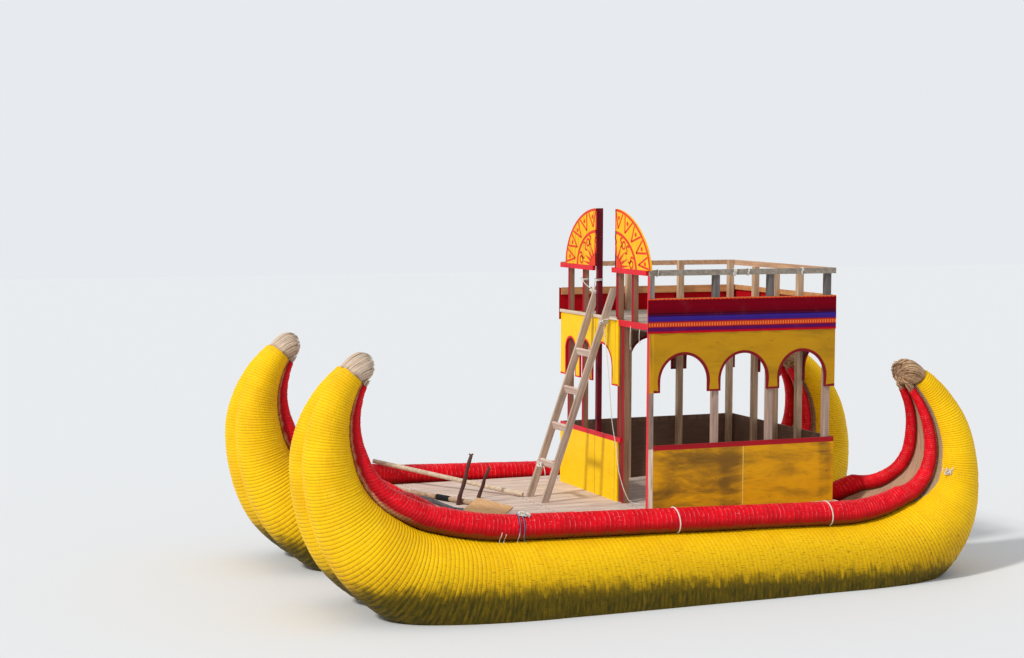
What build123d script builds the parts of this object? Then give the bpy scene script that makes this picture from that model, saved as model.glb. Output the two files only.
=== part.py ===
from build123d import *
import os
from math import atan2, cos, degrees, pi, radians, sin, sqrt, tan

# Reed boat with two hulls, a plank deck and a two-level cabin.
# Millimetres. +X points to the bow, +Y to port, +Z up from the underside of the hulls.
# The origin is halfway along and across the boat, level with the underside of the hulls.

# Levels and clearances
deck_top = 1020.0
seat = 0.3
cabin_x = -1048.1

# Hull bundles: the spine of each bundle runs level below the deck and turns up at both ends
hull_y = 1200.0
stern_bends = [(28.0, 2000.0), (90.0, 905.0), (139.0, 1020.0)]
bow_bends = [(20.0, 3000.0), (90.0, 1200.0), (133.0, 1000.0)]

# Sections along a hull, by the angle the spine has turned.
# Columns: turn in degrees, bundle radius, bundle offset from the hull's middle plane,
# roll radius, lean of the inner roll in degrees
stern_sections = [
    (139.0, 105.0, 80.0, 40.0, 0.0),
    (124.0, 140.0, 115.0, 50.0, 0.0),
    (107.0, 180.0, 160.0, 60.0, 0.0),
    (90.0, 215.0, 195.0, 68.0, 0.0),
    (75.0, 255.0, 230.0, 76.0, 0.0),
    (60.0, 305.0, 270.0, 86.0, 2.0),
    (44.0, 355.0, 310.0, 96.0, 4.0),
    (28.0, 400.0, 345.0, 105.0, 12.0),
    (21.0, 413.0, 355.0, 108.0, 25.0),
    (14.0, 425.0, 365.0, 111.0, 40.0),
    (7.0, 434.0, 371.0, 113.0, 54.0),
    (0.0, 440.0, 375.0, 115.0, 62.0),
]
bow_sections = [
    (0.0, 480.0, 410.0, 118.0, 62.0),
    (5.0, 474.0, 406.0, 120.0, 56.0),
    (10.0, 465.0, 400.0, 121.0, 42.0),
    (15.0, 451.0, 388.0, 122.0, 28.0),
    (20.0, 435.0, 375.0, 122.0, 17.0),
    (32.0, 405.0, 350.0, 121.0, 5.0),
    (45.0, 370.0, 325.0, 118.0, 0.0),
    (56.0, 325.0, 290.0, 111.0, 0.0),
    (67.0, 278.0, 250.0, 101.0, 0.0),
    (78.0, 243.0, 220.0, 88.0, 0.0),
    (90.0, 215.0, 195.0, 75.0, 0.0),
    (105.0, 178.0, 158.0, 60.0, 0.0),
    (119.0, 143.0, 118.0, 48.0, 0.0),
    (133.0, 105.0, 80.0, 36.0, 0.0),
]

# Reed tufts at the tips of each hull
tuft_length = 210.0
tuft_droop = 38.0

# Room left beside an inner roll where it leans off its bundle
twist_ease = 14.0

# Cabin walls, all heights above the deck
cabin_length = 2050.0
cabin_width = 2100.0
board = 15.0
post = 60.0
front_post = 50.0
corner_post = 50.0
panel_top = 595.0
mid_rail = 48.0
valance_low = 1150.0
roof_top = 1805.0
roof_plank = 25.0
roof_beam = 60.0
roof_plank_count = 9
roof_plank_gap = 22.0
joist_width = 40.0
front = cabin_length / 2
side = cabin_width / 2

# Ends of the level stretch of the hulls
spine_aft_x = cabin_x - front + 225.0
spine_fore_x = cabin_x + front + 1475.0

# Arches of the side walls: three to a wall, between a margin at each end and two piers
side_spring = 1255.0
# Columns: fore margin, aft margin, pier, shift of each post from the middle of its pier
port_bays = (118.0, 118.0, 142.0, (-30.0, 21.0))
starboard_bays = (130.0, 76.0, 182.0, (-51.0, 9.0))
port_aft_post = 75.0

# Front wall: the doorway is at its port end, and the rest is measured from the starboard corner
door_edge = side - 690.0
rail_end = door_edge + 60.0
small_arches = (-side + 253.0, -side + 613.0)
small_arch_half = 120.0
wide_arch = (-side + 797.0, door_edge - 145.0)
front_crown = 1545.0
front_seams = (-side + 825.0, door_edge - 180.0)
seam_gap = 2.0
front_posts = (-side + 175.0, -side + 540.0)
gate_post_y = -side + 870.0
door_posts = (door_edge - 15.0, door_edge + 81.0)
upper_posts = (door_edge - 63.0, door_edge + 287.0)

# Rear wall: piers measured from the port corner
rear_piers = (side - 620.0, side - 1100.0, side - 1528.0)
rear_pier = 100.0
rear_margin = 60.0

# Deck
plank_thickness = 25.0
plank_count = 15
plank_gap = 8.0
deck_half_width = hull_y + stern_sections[-1][2] - stern_sections[-1][3] - 20.0
deck_aft_x = cabin_x - front - 45.0
deck_fore_x = cabin_x + front + 1725.0
beam_width = 70.0
beam_count = 5

# Upper works above the roof
lower_bar_top = 2055.0
bar_height = 50.0
starboard_bar_height = 75.0
top_rail_top = 2325.0
top_rail_height = 55.0
top_rail_thickness = 30.0
cloth_low = 1720.0
cloth_thickness = 8.0
sun_base_low = 2270.0
sun_base_high = 2320.0
sun_height = 577.0
sun_thickness = 18.0
sun_bases = ((side - 822.0, side - 50.0), (-side + 830.0, -side + board))
# Columns: upright edge, low outer end, roundness of the curved edge
sun_boards = ((side - 740.0, side + 45.0, 1.75), (-side + 915.0, -side + 150.0, 1.95))

# Ladder
ladder_lean = 19.35
ladder_top = 2110.0
ladder_rail_depth = 70.0
ladder_rail_width = 30.0
ladder_rails = (gate_post_y - 42.0, upper_posts[0] - 137.0)
rung_heights = (355.0, 720.0, 1080.0, 1457.0)
rung_depth = 90.0
rung_thickness = 28.0

# Loose gear on the foredeck, placed from the cabin's front
pole_radius = 23.0
pole_foot = (front + 762.0, -241.0)
pole_reach = (front + 1857.0, -60.0)
light_oar_radius = 25.0
light_oar_ends = ((front + 1353.0, 234.0), (front + 1938.0, -1099.0))
light_blade = (330.0, 150.0, 16.0)
wrap_radius = 29.0
wrap_span = (490.0, 675.0)
dark_oar_radius = 20.0
dark_oar_ends = ((front + 1755.0, -450.0), (front + 1675.0, 660.0))
dark_blade = (420.0, 190.0, 16.0)
# Columns: foot, top, radius
thole_pins = (
    ((front + 1535.0, -30.0), (front + 1412.0, 0.0, 488.0), 16.0),
    ((front + 1202.0, -337.0), (front + 1093.0, -337.0, 300.0), 14.0),
)
loose_board_size = (730.0, 360.0, 12.0)
loose_board_edge = (front + 1097.0, 313.0)
loose_board_bearing = 58.0

# Limp line from the ladder's head down past the door posts to the deck
line_radius = 4.0
line_points = (
    (1096.0, 179.3, 1777.0),
    (1101.0, 188.0, 1700.0),
    (1100.0, 203.0, 1612.0),
    (1092.0, 226.0, 1520.0),
    (1088.0, 242.0, 1422.0),
    (1086.0, 261.0, 1318.0),
    (1082.0, 274.0, 1212.0),
    (1080.0, 288.0, 1108.0),
    (1077.0, 297.0, 1000.0),
    (1072.0, 308.0, 895.0),
    (1067.0, 322.0, 792.0),
    (1060.0, 343.0, 692.0),
    (1056.0, 375.0, 598.0),
    (1053.0, 408.0, 512.0),
    (1046.0, 412.0, 412.0),
    (1041.0, 426.0, 318.0),
    (1036.0, 468.0, 232.0),
    (1028.0, 512.0, 156.0),
    (1006.0, 531.0, 84.0),
    (976.0, 541.0, 30.0),
    (930.0, 562.0, 4.3),
    (885.0, 592.0, 4.3),
)


def save(name, *shapes):
    """Write one piece of the boat to its own file."""
    solids = [solid for shape in shapes for solid in shape.solids()]
    piece = solids[0] if len(solids) == 1 else Compound(children=solids)
    export_step(piece, f"parts/{name}.step")


def block(x, y, z):
    """A rectangular timber given by its low and high limits along each axis."""
    (x0, x1), (y0, y1), (z0, z1) = (sorted(limits) for limits in (x, y, z))
    return Pos((x0 + x1) / 2, (y0 + y1) / 2, (z0 + z1) / 2) * Box(x1 - x0, y1 - y0, z1 - z0)


def aboard(shape):
    """Move a piece of the cabin from its own middle on the deck to its place."""
    return Pos(cabin_x, 0, deck_top) * shape


def spine_point(turn, start_x, start_z, bends, way):
    """Point of a bundle's spine where it has turned by an angle, going to the bow or the stern."""
    x, z, done = start_x, start_z, 0.0
    for limit, radius in bends:
        here = min(turn, limit)
        x += way * radius * (sin(radians(here)) - sin(radians(done)))
        z += radius * (cos(radians(done)) - cos(radians(here)))
        done = here
    return x, z


def hull_stations():
    """Planes across a hull from the stern's tip to the bow's, each with its row of sizes."""
    stations = []
    for turn, bundle_r, offset, roll_r, lean in stern_sections:
        x, z = spine_point(turn, spine_aft_x, stern_sections[-1][1], stern_bends, -1)
        stations.append((x, z, -turn, bundle_r, offset, roll_r, lean))
    for turn, bundle_r, offset, roll_r, lean in bow_sections:
        x, z = spine_point(turn, spine_fore_x, bow_sections[0][1], bow_bends, 1)
        stations.append((x, z, turn, bundle_r, offset, roll_r, lean))
    return stations


def across(x, y, z, turn):
    """Plane square to the spine, its own x to port and its own y to the inside of the bend."""
    tangent = (cos(radians(turn)), 0, sin(radians(turn)))
    return Plane(origin=(x, y, z), x_dir=(0, 1, 0), z_dir=tangent)


def horn(faces):
    """Straight lofts from each section to the next, joined into one body."""
    runs = [loft([near, far], ruled=True) for near, far in zip(faces, faces[1:])]
    return runs[0].fuse(*runs[1:])


def bundle(ship_side, place):
    """One reed bundle: round, and pressed flat against its twin on the hull's middle plane."""
    facing = ship_side * place
    faces = []
    for x, z, turn, radius, offset, _, _ in hull_stations():
        flat = offset - seat / 2
        half = sqrt(radius**2 - flat**2)
        inner = -facing * flat
        round_edge = ThreePointArc((inner, -half), (facing * radius, 0), (inner, half))
        flat_edge = Line((inner, half), (inner, -half))
        outline = make_face(Curve() + [round_edge, flat_edge])
        faces.append(across(x, ship_side * hull_y + facing * offset, z, turn) * outline)
    return horn(faces)


def roll(ship_side, place):
    """One gunwale roll, bound along the top of its bundle from tip to tip."""
    facing = ship_side * place
    faces = []
    for x, z, turn, radius, offset, roll_r, lean in hull_stations():
        lean = 0.0 if place > 0 else lean
        reach = radius + roll_r + (twist_ease if lean > 3.0 else seat)
        spot = Pos(facing * reach * sin(radians(lean)), reach * cos(radians(lean)))
        faces.append(across(x, ship_side * hull_y + facing * offset, z, turn) * spot * Circle(roll_r))
    return horn(faces)


def tuft(ship_side, row):
    """Cut reed ends that stand out of a hull's tip and droop inboard."""
    x, z, turn, radius, offset, _, _ = row
    way = 1 if turn > 0 else -1
    # Columns: share of the length, swelling, share of the droop
    rings = [(0.0, 1.0, 0.0), (0.4, 1.12, 0.4), (0.8, 1.2, 0.8), (1.0, 0.95, 1.0)]
    faces = []
    px, pz, last = x, z, 0.0
    for share, swelling, droop in rings:
        bearing = radians(turn + way * tuft_droop * droop)
        step = (share - last) * tuft_length + (seat if share == 0.0 else 0.0)
        px += way * step * cos(bearing)
        pz += way * step * sin(bearing)
        last = share
        ring = Ellipse((offset + radius) * 0.86 * swelling, radius * swelling)
        faces.append(across(px, ship_side * hull_y, pz, turn + way * tuft_droop * droop) * ring)
    return horn(faces)


def bays(margins):
    """Arches of a side wall and the places of the posts that stand behind its piers."""
    fore, aft, pier, shifts = margins
    half = (cabin_length - fore - aft - 2 * pier) / 6
    first = front - fore - half
    step = 2 * half + pier
    arches = [(first - index * step, half, side_spring) for index in range(3)]
    posts = [first - (index + 0.5) * step + shift for index, shift in enumerate(shifts)]
    return arches, posts


def rear_bays():
    """Arches of the rear wall, which fill the room between its piers."""
    edges = [side - rear_margin]
    for middle in rear_piers:
        edges += [middle + rear_pier / 2, middle - rear_pier / 2]
    edges.append(rear_margin - side)
    pairs = zip(edges[::2], edges[1::2])
    return [((port + starboard) / 2, (port - starboard) / 2, side_spring) for port, starboard in pairs]


def front_bays():
    """Two narrow arches and a wide one in the front wall, all to one height."""
    arches = [(middle, small_arch_half, front_crown - small_arch_half) for middle in small_arches]
    half = (wide_arch[1] - wide_arch[0]) / 2
    arches.append(((wide_arch[0] + wide_arch[1]) / 2, half, front_crown - half))
    return arches


def arched(low, high, arches):
    """Outline of a valance board with round-topped arches cut up from its lower edge."""
    height = roof_top - valance_low
    outline = Pos((low + high) / 2, valance_low + height / 2) * Rectangle(high - low, height)
    for middle, half, spring in arches:
        outline -= Pos(middle, (valance_low + spring) / 2) * Rectangle(2 * half, spring - valance_low)
        outline -= Pos(middle, spring) * Circle(half)
    return outline


def upright(outline, place, facing):
    """Board of a wall from its outline, across the boat or along it."""
    normal = {"bow": (1, 0, 0), "side": (0, -1, 0)}[facing]
    along = {"bow": (0, 1, 0), "side": (1, 0, 0)}[facing]
    plane = Plane(origin=place, x_dir=along, z_dir=normal)
    return extrude(plane * outline, board / 2, both=True)


def hulls():
    stations = hull_stations()
    for ship_side, word in ((1, "port"), (-1, "starboard")):
        for place, where in ((1, "outer"), (-1, "inner")):
            save(f"{word}_{where}_bundle", bundle(ship_side, place))
            save(f"{word}_{where}_roll", roll(ship_side, place))
        save(f"{word}_stern_tuft", tuft(ship_side, stations[0]))
        save(f"{word}_bow_tuft", tuft(ship_side, stations[-1]))


def bundle_top(x):
    """Height of the bundles' upper side along their straight run."""
    aft_r, fore_r = stern_sections[-1][1], bow_sections[0][1]
    share = (x - spine_aft_x) / (spine_fore_x - spine_aft_x)
    return 2 * (aft_r + (fore_r - aft_r) * share)


def deck():
    first, last = spine_aft_x + 100, deck_fore_x - 80
    beams = []
    for index in range(beam_count):
        x = first + (last - first) * index / (beam_count - 1)
        low = bundle_top(x + beam_width / 2) + seat
        limits = (x - beam_width / 2, x + beam_width / 2)
        beams.append(block(limits, (-deck_half_width, deck_half_width), (low, deck_top - plank_thickness)))
    save("deck_beams", *beams)
    width = (2 * deck_half_width + plank_gap) / plank_count - plank_gap
    levels = (deck_top - plank_thickness, deck_top)
    planks = []
    for index in range(plank_count):
        y = -deck_half_width + index * (width + plank_gap)
        planks.append(block((deck_aft_x, deck_fore_x), (y, y + width), levels))
    save("deck_planks", *planks)


def side_posts(ship_side, word, places, top):
    inner = side - board
    posts = [
        block((x - post / 2, x + post / 2), (ship_side * inner, ship_side * (inner - post)), (0, top))
        for x in places
    ]
    save(f"{word}_wall_posts", *[aboard(piece) for piece in posts])


def cabin_posts():
    under_rail = top_rail_top - top_rail_height
    save("corner_post",
         aboard(block((front - corner_post, front), (side - corner_post, side), (0, under_rail))))
    side_posts(1, "port", bays(port_bays)[1] + [-front + port_aft_post], under_rail)
    aft = -front + top_rail_thickness + seat + post / 2
    side_posts(-1, "starboard", bays(starboard_bays)[1] + [aft], top_rail_top)
    back = -front + board
    posts = [block((back, back + post), (y - post / 2, y + post / 2), (0, under_rail)) for y in rear_piers]
    save("rear_wall_posts", *[aboard(piece) for piece in posts])


def front_upright(y, depth, low, top):
    """Post behind the front wall's boards."""
    return aboard(block((front - board - depth, front - board), (y - depth / 2, y + depth / 2), (low, top)))


def front_post_pieces():
    save("front_wall_posts", *[front_upright(y, front_post, 0, sun_base_high) for y in front_posts])
    save("gate_post", front_upright(gate_post_y, front_post, 0, sun_base_high + sun_height))
    splice = roof_top - 60
    save("door_posts",
         front_upright(door_posts[0], front_post, 0, splice),
         front_upright(door_posts[1], post, 0, roof_top))
    save("upper_posts",
         front_upright(upper_posts[0], post, splice + seat, sun_base_high),
         front_upright(upper_posts[1], front_post, roof_top - 60, sun_base_high))


def side_wall(ship_side, word, fore_end, margins):
    y = (ship_side * (side - board), ship_side * side)
    save(f"{word}_panels",
         aboard(block((seam_gap / 2, fore_end), y, (0, panel_top))),
         aboard(block((-front, -seam_gap / 2), y, (0, panel_top))))
    save(f"{word}_mid_rail", aboard(block((-front, fore_end), y, (panel_top, panel_top + mid_rail))))
    outline = arched(-front, fore_end, bays(margins)[0])
    save(f"{word}_valance", aboard(upright(outline, (0, ship_side * (side - board / 2), 0), "side")))


def front_wall():
    x = (front - board, front)
    gap = seam_gap / 2
    edges = [-side]
    for seam in front_seams:
        edges += [seam - gap, seam + gap]
    edges.append(door_edge)
    boards = [block(x, limits, (0, panel_top)) for limits in zip(edges[::2], edges[1::2])]
    save("front_panel", *[aboard(piece) for piece in boards])
    save("front_mid_rail", aboard(block(x, (-side, rail_end), (panel_top, panel_top + mid_rail))))
    outline = arched(-side, door_edge, front_bays())
    for seam in front_seams:
        outline -= Pos(seam, (valance_low + roof_top) / 2) * Rectangle(seam_gap, roof_top)
    save("front_valance", aboard(upright(outline, (front - board / 2, 0, 0), "bow")))


def rear_wall():
    x = (-front, -front + board)
    reach = side - board - seat
    save("rear_panel", aboard(block(x, (-reach, reach), (0, panel_top))))
    save("rear_mid_rail", aboard(block(x, (-reach, reach), (panel_top, panel_top + mid_rail))))
    outline = arched(-reach, reach, rear_bays())
    save("rear_valance", aboard(upright(outline, (-front + board / 2, 0, 0), "bow")))


def roof():
    low = roof_top - roof_plank - roof_beam
    inner = side - board - post - seat
    span = front - board - post - seat
    timbers = []
    for ship_side in (-1, 1):
        limits = (ship_side * inner, ship_side * (inner - joist_width))
        timbers.append(block((-span, span), limits, (low, low + roof_beam)))
    reach = inner - joist_width - seat
    for x in (-span + joist_width / 2, -span / 3, span / 3, span - joist_width / 2):
        limits = (x - joist_width / 2, x + joist_width / 2)
        timbers.append(block(limits, (-reach, reach), (low, low + roof_beam)))
    save("roof_beams", *[aboard(piece) for piece in timbers])
    width = (2 * inner + roof_plank_gap) / roof_plank_count - roof_plank_gap
    planks = []
    for index in range(roof_plank_count):
        y = -inner + index * (width + roof_plank_gap)
        planks.append(block((-span, span), (y, y + width), (roof_top - roof_plank, roof_top)))
    save("roof_planks", *[aboard(piece) for piece in planks])
    edge = block((front, front + board), (-side, door_edge - 30), (roof_top - 5, roof_top + 25))
    save("roof_edge_board", aboard(edge))
    limits = (door_edge + seat, side - corner_post - seat)
    save("roof_fascia", aboard(block((front - board, front), limits, (roof_top - 55, roof_top + 5))))


def railings():
    low = top_rail_top - top_rail_height
    rear_reach = side - board - seat
    bars = (
        ((-front, front - corner_post - seat), (side - board, side), bar_height),
        ((-front, front), (-side, board - side), starboard_bar_height),
        ((-front, -front + board), (-rear_reach, rear_reach), bar_height),
    )
    pieces = [block(x, y, (lower_bar_top - height, lower_bar_top)) for x, y, height in bars]
    save("lower_bars", *[aboard(piece) for piece in pieces])
    outside = -side + board - seat
    rails = (
        block((-front, front), (side - top_rail_thickness, side), (low, top_rail_top)),
        block((-front, front), (outside - top_rail_thickness, outside), (low + 5, top_rail_top)),
        block((-front, -front + top_rail_thickness), (outside + seat, side - top_rail_thickness - seat),
              (low, top_rail_top)),
    )
    save("top_rails", *[aboard(piece) for piece in rails])


def cloths():
    height = (cloth_low, lower_bar_top)
    for ship_side, word in ((1, "port"), (-1, "starboard")):
        y = (ship_side * (side + seat), ship_side * (side + seat + cloth_thickness))
        save(f"{word}_cloth_band", aboard(block((-front, front + 20), y, height)))
    x = (-front - seat - cloth_thickness, -front - seat)
    save("rear_cloth_band", aboard(block(x, (-side, side), height)))


def sun_pieces():
    bases = [
        block((front - board, front + sun_thickness), limits, (sun_base_low, sun_base_high))
        for limits in sun_bases
    ]
    save("sun_bases", *[aboard(piece) for piece in bases])
    for word, (inner, outer, roundness) in zip(("port", "starboard"), sun_boards):
        power = 2 / roundness
        points = []
        for index in range(9):
            angle = pi / 2 * index / 8
            points.append(((outer - inner) * sin(angle) ** power, sun_height * cos(angle) ** power))
        points[-1] = (outer - inner, 0.0)
        curve = Spline(*points, tangents=((outer - inner, 0), (0, -1)))
        upright_edge = Line((0, 0), (0, sun_height))
        foot = Line((outer - inner, 0), (0, 0))
        outline = make_face(Curve() + [upright_edge, curve, foot])
        plane = Plane(origin=(front + sun_thickness / 2, inner, sun_base_high + seat), x_dir=(0, 1, 0),
                      z_dir=(1, 0, 0))
        save(f"{word}_sun_board", aboard(extrude(plane * outline, sun_thickness / 2, both=True)))


def ladder():
    lean = radians(ladder_lean)
    edge_x = front + board
    edge_z = roof_top + 25
    foot = edge_x + (seat + ladder_rail_depth / 2 + edge_z * sin(lean)) / cos(lean)
    half = ladder_rail_depth / 2 / cos(lean)
    top_x = foot - ladder_top * tan(lean)
    outline = make_face(Polyline((foot - half, 0), (foot + half, 0), (top_x + half, ladder_top),
                                 (top_x - half, ladder_top), close=True))
    rails = []
    for y in ladder_rails:
        plane = Plane(origin=(0, y, 0), x_dir=(1, 0, 0), z_dir=(0, -1, 0))
        rails.append(aboard(extrude(plane * outline, ladder_rail_width / 2, both=True)))
    save("ladder_rails", *rails)
    rungs = []
    length = ladder_rails[1] - ladder_rails[0] - ladder_rail_width - 2 * seat
    middle = (ladder_rails[0] + ladder_rails[1]) / 2
    for height in rung_heights:
        x = foot - height * tan(lean)
        rung = Pos(x, middle, height) * Rot(0, -10, 0) * Box(rung_depth, length, rung_thickness)
        rungs.append(aboard(rung))
    save("ladder_rungs", *rungs)


def rod(start, end, radius):
    """Round stick between two points."""
    line = Vector(*end) - Vector(*start)
    plane = Plane(origin=start, z_dir=line)
    return extrude(plane * Circle(radius), line.length)


def roll_axis(x):
    """Point above the deck on the middle line of the starboard outer roll, and its slope there."""
    last = None
    for sx, sz, turn, radius, offset, roll_r, _ in hull_stations():
        reach = radius + roll_r + seat
        here = (sx - reach * sin(radians(turn)) - cabin_x, -hull_y - offset,
                sz + reach * cos(radians(turn)) - deck_top, roll_r)
        if last is not None and last[0] <= x <= here[0]:
            share = (x - last[0]) / (here[0] - last[0])
            point = [a + (b - a) * share for a, b in zip(last, here)]
            return Vector(*point[:3]), Vector(*[b - a for a, b in zip(last, here)][:3]), point[3]
        last = here


def pole():
    """Long pole from the deck up over the starboard outer roll, resting on both."""
    axis, along, roll_r = roll_axis(pole_reach[0])
    foot = Vector(*pole_foot, seat + pole_radius)
    over = axis + Vector(0, 0, roll_r + pole_radius)
    for _ in range(4):
        normal = (over - foot).cross(along).normalized()
        normal = normal if normal.Z > 0 else -normal
        over = axis + normal * (roll_r + pole_radius + seat)
    end = over + (over - foot).normalized() * -pole_reach[1]
    return rod(tuple(foot), tuple(end), pole_radius)


def oar(ends, radius, height, blade):
    """Oar lying level: a round shaft from the first end and a flat blade up to the second."""
    (x0, y0), (x1, y1) = ends
    length, width, thickness = blade
    span = sqrt((x1 - x0) ** 2 + (y1 - y0) ** 2)
    bearing = degrees(atan2(y1 - y0, x1 - x0))
    shaft = rod((0, 0, 0), (span - length * 0.8, 0, 0), radius)
    corners = Polyline((span - length, -radius), (span - length * 0.75, -width / 2), (span - 20, -width / 2),
                       (span, -width / 2 + 20), (span, width / 2 - 20), (span - 20, width / 2),
                       (span - length * 0.75, width / 2), (span - length, radius), close=True)
    flat = extrude(make_face(corners), thickness / 2, both=True)
    return Pos(x0, y0, height) * Rot(0, 0, bearing) * (shaft + flat)


def loose_board():
    """Board lying with one long edge on the deck and the other raised on the light oar's shaft."""
    length, width, thickness = loose_board_size
    bearing = radians(loose_board_bearing)
    away = Vector(sin(bearing), -cos(bearing), 0)
    run = Vector(*light_oar_ends[1], 0) - Vector(*light_oar_ends[0], 0)
    crosswise = Vector(run.Y, -run.X, 0).normalized()
    end = Vector(*light_oar_ends[0], 0) - Vector(*loose_board_edge, 0)
    slopes = []
    for index in range(91):
        angle = pi * index / 90
        spot = end + crosswise * light_oar_radius * cos(angle)
        height = wrap_radius + seat + light_oar_radius * sin(angle)
        slopes.append(height / spot.dot(away))
    slope = degrees(atan2(max(slopes), 1)) + 0.02
    plank = Pos(length / 2, -width / 2, thickness / 2) * Box(length, width, thickness)
    return Pos(*loose_board_edge, seat) * Rot(0, 0, loose_board_bearing) * Rot(-slope, 0, 0) * plank


def gear():
    save("pole", aboard(pole()))
    level = seat + wrap_radius
    save("light_oar", aboard(oar(light_oar_ends, light_oar_radius, level, light_blade)))
    (x0, y0), (x1, y1) = light_oar_ends
    bearing = degrees(atan2(y1 - y0, x1 - x0))
    sleeve = Circle(wrap_radius) - Circle(light_oar_radius + seat / 2)
    ring = extrude(Plane(origin=(wrap_span[0], 0, 0), z_dir=(1, 0, 0)) * sleeve, wrap_span[1] - wrap_span[0])
    save("light_oar_wrap", aboard(Pos(x0, y0, level) * Rot(0, 0, bearing) * ring))
    save("dark_oar", aboard(oar(dark_oar_ends, dark_oar_radius, seat + dark_oar_radius, dark_blade)))
    pins = []
    for (x, y), top, radius in thole_pins:
        foot = Vector(x, y, seat)
        below = foot - (Vector(*top) - foot) * 0.1
        pins.append(rod(tuple(below), top, radius) - Pos(x, y, seat - 100) * Box(400, 400, 200))
    save("thole_pins", *[aboard(pin) for pin in pins])
    save("loose_board", aboard(loose_board()))


def hanging_line():
    """Round cord along straight runs joined by arcs as large as the runs allow."""
    points = [Vector(*point) for point in line_points]
    radii = []
    for before, here, after in zip(points, points[1:], points[2:]):
        turn = (here - before).get_angle(after - here)
        shorter = min((here - before).length, (after - here).length)
        radii.append(0.45 * shorter / tan(radians(turn / 2)))
    print("hanging line radii:", [round(radius) for radius in radii])
    path = FilletPolyline(*points, radius=radii)
    tube = sweep(Plane(origin=path @ 0, z_dir=path % 0) * Circle(line_radius), path=path)
    print("hanging line length:", round(path.length), "volume over section times length:",
          round(tube.volume / (pi * line_radius**2 * path.length), 4))
    save("hanging_line", aboard(tube))


os.makedirs("parts", exist_ok=True)
hulls()
deck()
cabin_posts()
front_post_pieces()
side_wall(1, "port", front - corner_post - seat, port_bays)
side_wall(-1, "starboard", front - board - seat, starboard_bays)
front_wall()
rear_wall()
roof()
railings()
cloths()
sun_pieces()
ladder()
gear()
hanging_line()
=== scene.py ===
import bisect
import random
from math import acos, cos, pi, radians, sin, sqrt

import bpy
from mathutils import Matrix, Vector, noise


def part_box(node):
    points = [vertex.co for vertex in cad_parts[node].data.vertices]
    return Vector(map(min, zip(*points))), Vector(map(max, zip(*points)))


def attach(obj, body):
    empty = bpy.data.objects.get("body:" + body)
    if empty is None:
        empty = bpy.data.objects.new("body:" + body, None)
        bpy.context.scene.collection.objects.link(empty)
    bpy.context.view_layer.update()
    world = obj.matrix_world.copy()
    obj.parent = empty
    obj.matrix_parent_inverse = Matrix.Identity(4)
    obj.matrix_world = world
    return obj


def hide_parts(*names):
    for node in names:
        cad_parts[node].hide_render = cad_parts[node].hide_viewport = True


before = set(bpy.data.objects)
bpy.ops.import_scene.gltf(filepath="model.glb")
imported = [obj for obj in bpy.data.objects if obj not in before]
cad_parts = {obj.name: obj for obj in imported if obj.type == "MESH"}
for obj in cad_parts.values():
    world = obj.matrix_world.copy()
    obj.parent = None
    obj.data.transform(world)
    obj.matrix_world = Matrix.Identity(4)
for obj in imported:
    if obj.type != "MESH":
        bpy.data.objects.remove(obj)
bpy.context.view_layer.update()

bl_info = {
    "name": "Reed Boat",
    "version": (1, 0, 0),
    "blender": (4, 5, 0),
    "location": "3D Viewport > Sidebar > Reed Boat",
    "description": "Dresses a reed boat in wound reed, painted timber, striped cloth and rope",
    "category": "Object",
}

# Camera: focal length in pixels of the photograph, and its width
FOCAL_LENGTH = 1900.24
FRAME_WIDTH = 1024

# The cabin's middle on the deck, and the height of the water, in metres
CABIN_X = -1.0481
DECK_Z = 1.020
WATER_Z = 0.32

# Cabin from its middle: front and side walls, thickness of their boards, spring of the side arches
# and lower edge of the valances
FRONT = 1.025
SIDE = 1.05
BOARD = 0.015
SPRING = 1.255
VALANCE_LOW = 1.150

# Arches of the front and rear walls: middle, half width and spring
FRONT_ARCHES = ((-0.797, 0.12, 1.425), (-0.437, 0.12, 1.425), (-0.019, 0.234, 1.311))
REAR_ARCHES = (
    (0.735, 0.255, SPRING), (0.19, 0.19, SPRING), (-0.264, 0.164, SPRING), (-0.759, 0.231, SPRING),
)

# Deck: number of planks, edge of the first, pitch and half width, and middles of the beams
PLANK_COUNT = 15
PLANK_EDGE = -1.44
PLANK_PITCH = 0.19253
PLANK_HALF = 0.0923
DECK_BEAMS = (-0.7, 0.1425, 0.985, 1.8275, 2.67)

# Sun boards: front face, foot above the deck and height
SUN_FACE = 1.0439
SUN_FOOT = 2.3203
SUN_HEIGHT = 0.577

# Cloth bands: height, and length of one scallop along the top edge
CLOTH_HEIGHT = 0.335
SCALLOP = 0.045

# Ladder: lean, half depth of a rail, and heights of the rungs above the deck
LADDER_LEAN = radians(19.35)
RAIL_HALF = 0.037
RUNG_HEIGHTS = (0.355, 0.720, 1.080, 1.457)

# Forked pins: foot, top, radius, and the reach and shift of each prong
FORKED_PINS = (
    ((2.560, -0.030, 0.0), (2.437, 0.0, 0.488), 0.020, ((-0.016, 0.014), (0.018, -0.010))),
    ((2.227, -0.337, 0.0), (2.118, -0.337, 0.300), 0.018, ((0.012, 0.0),)),
)

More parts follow.
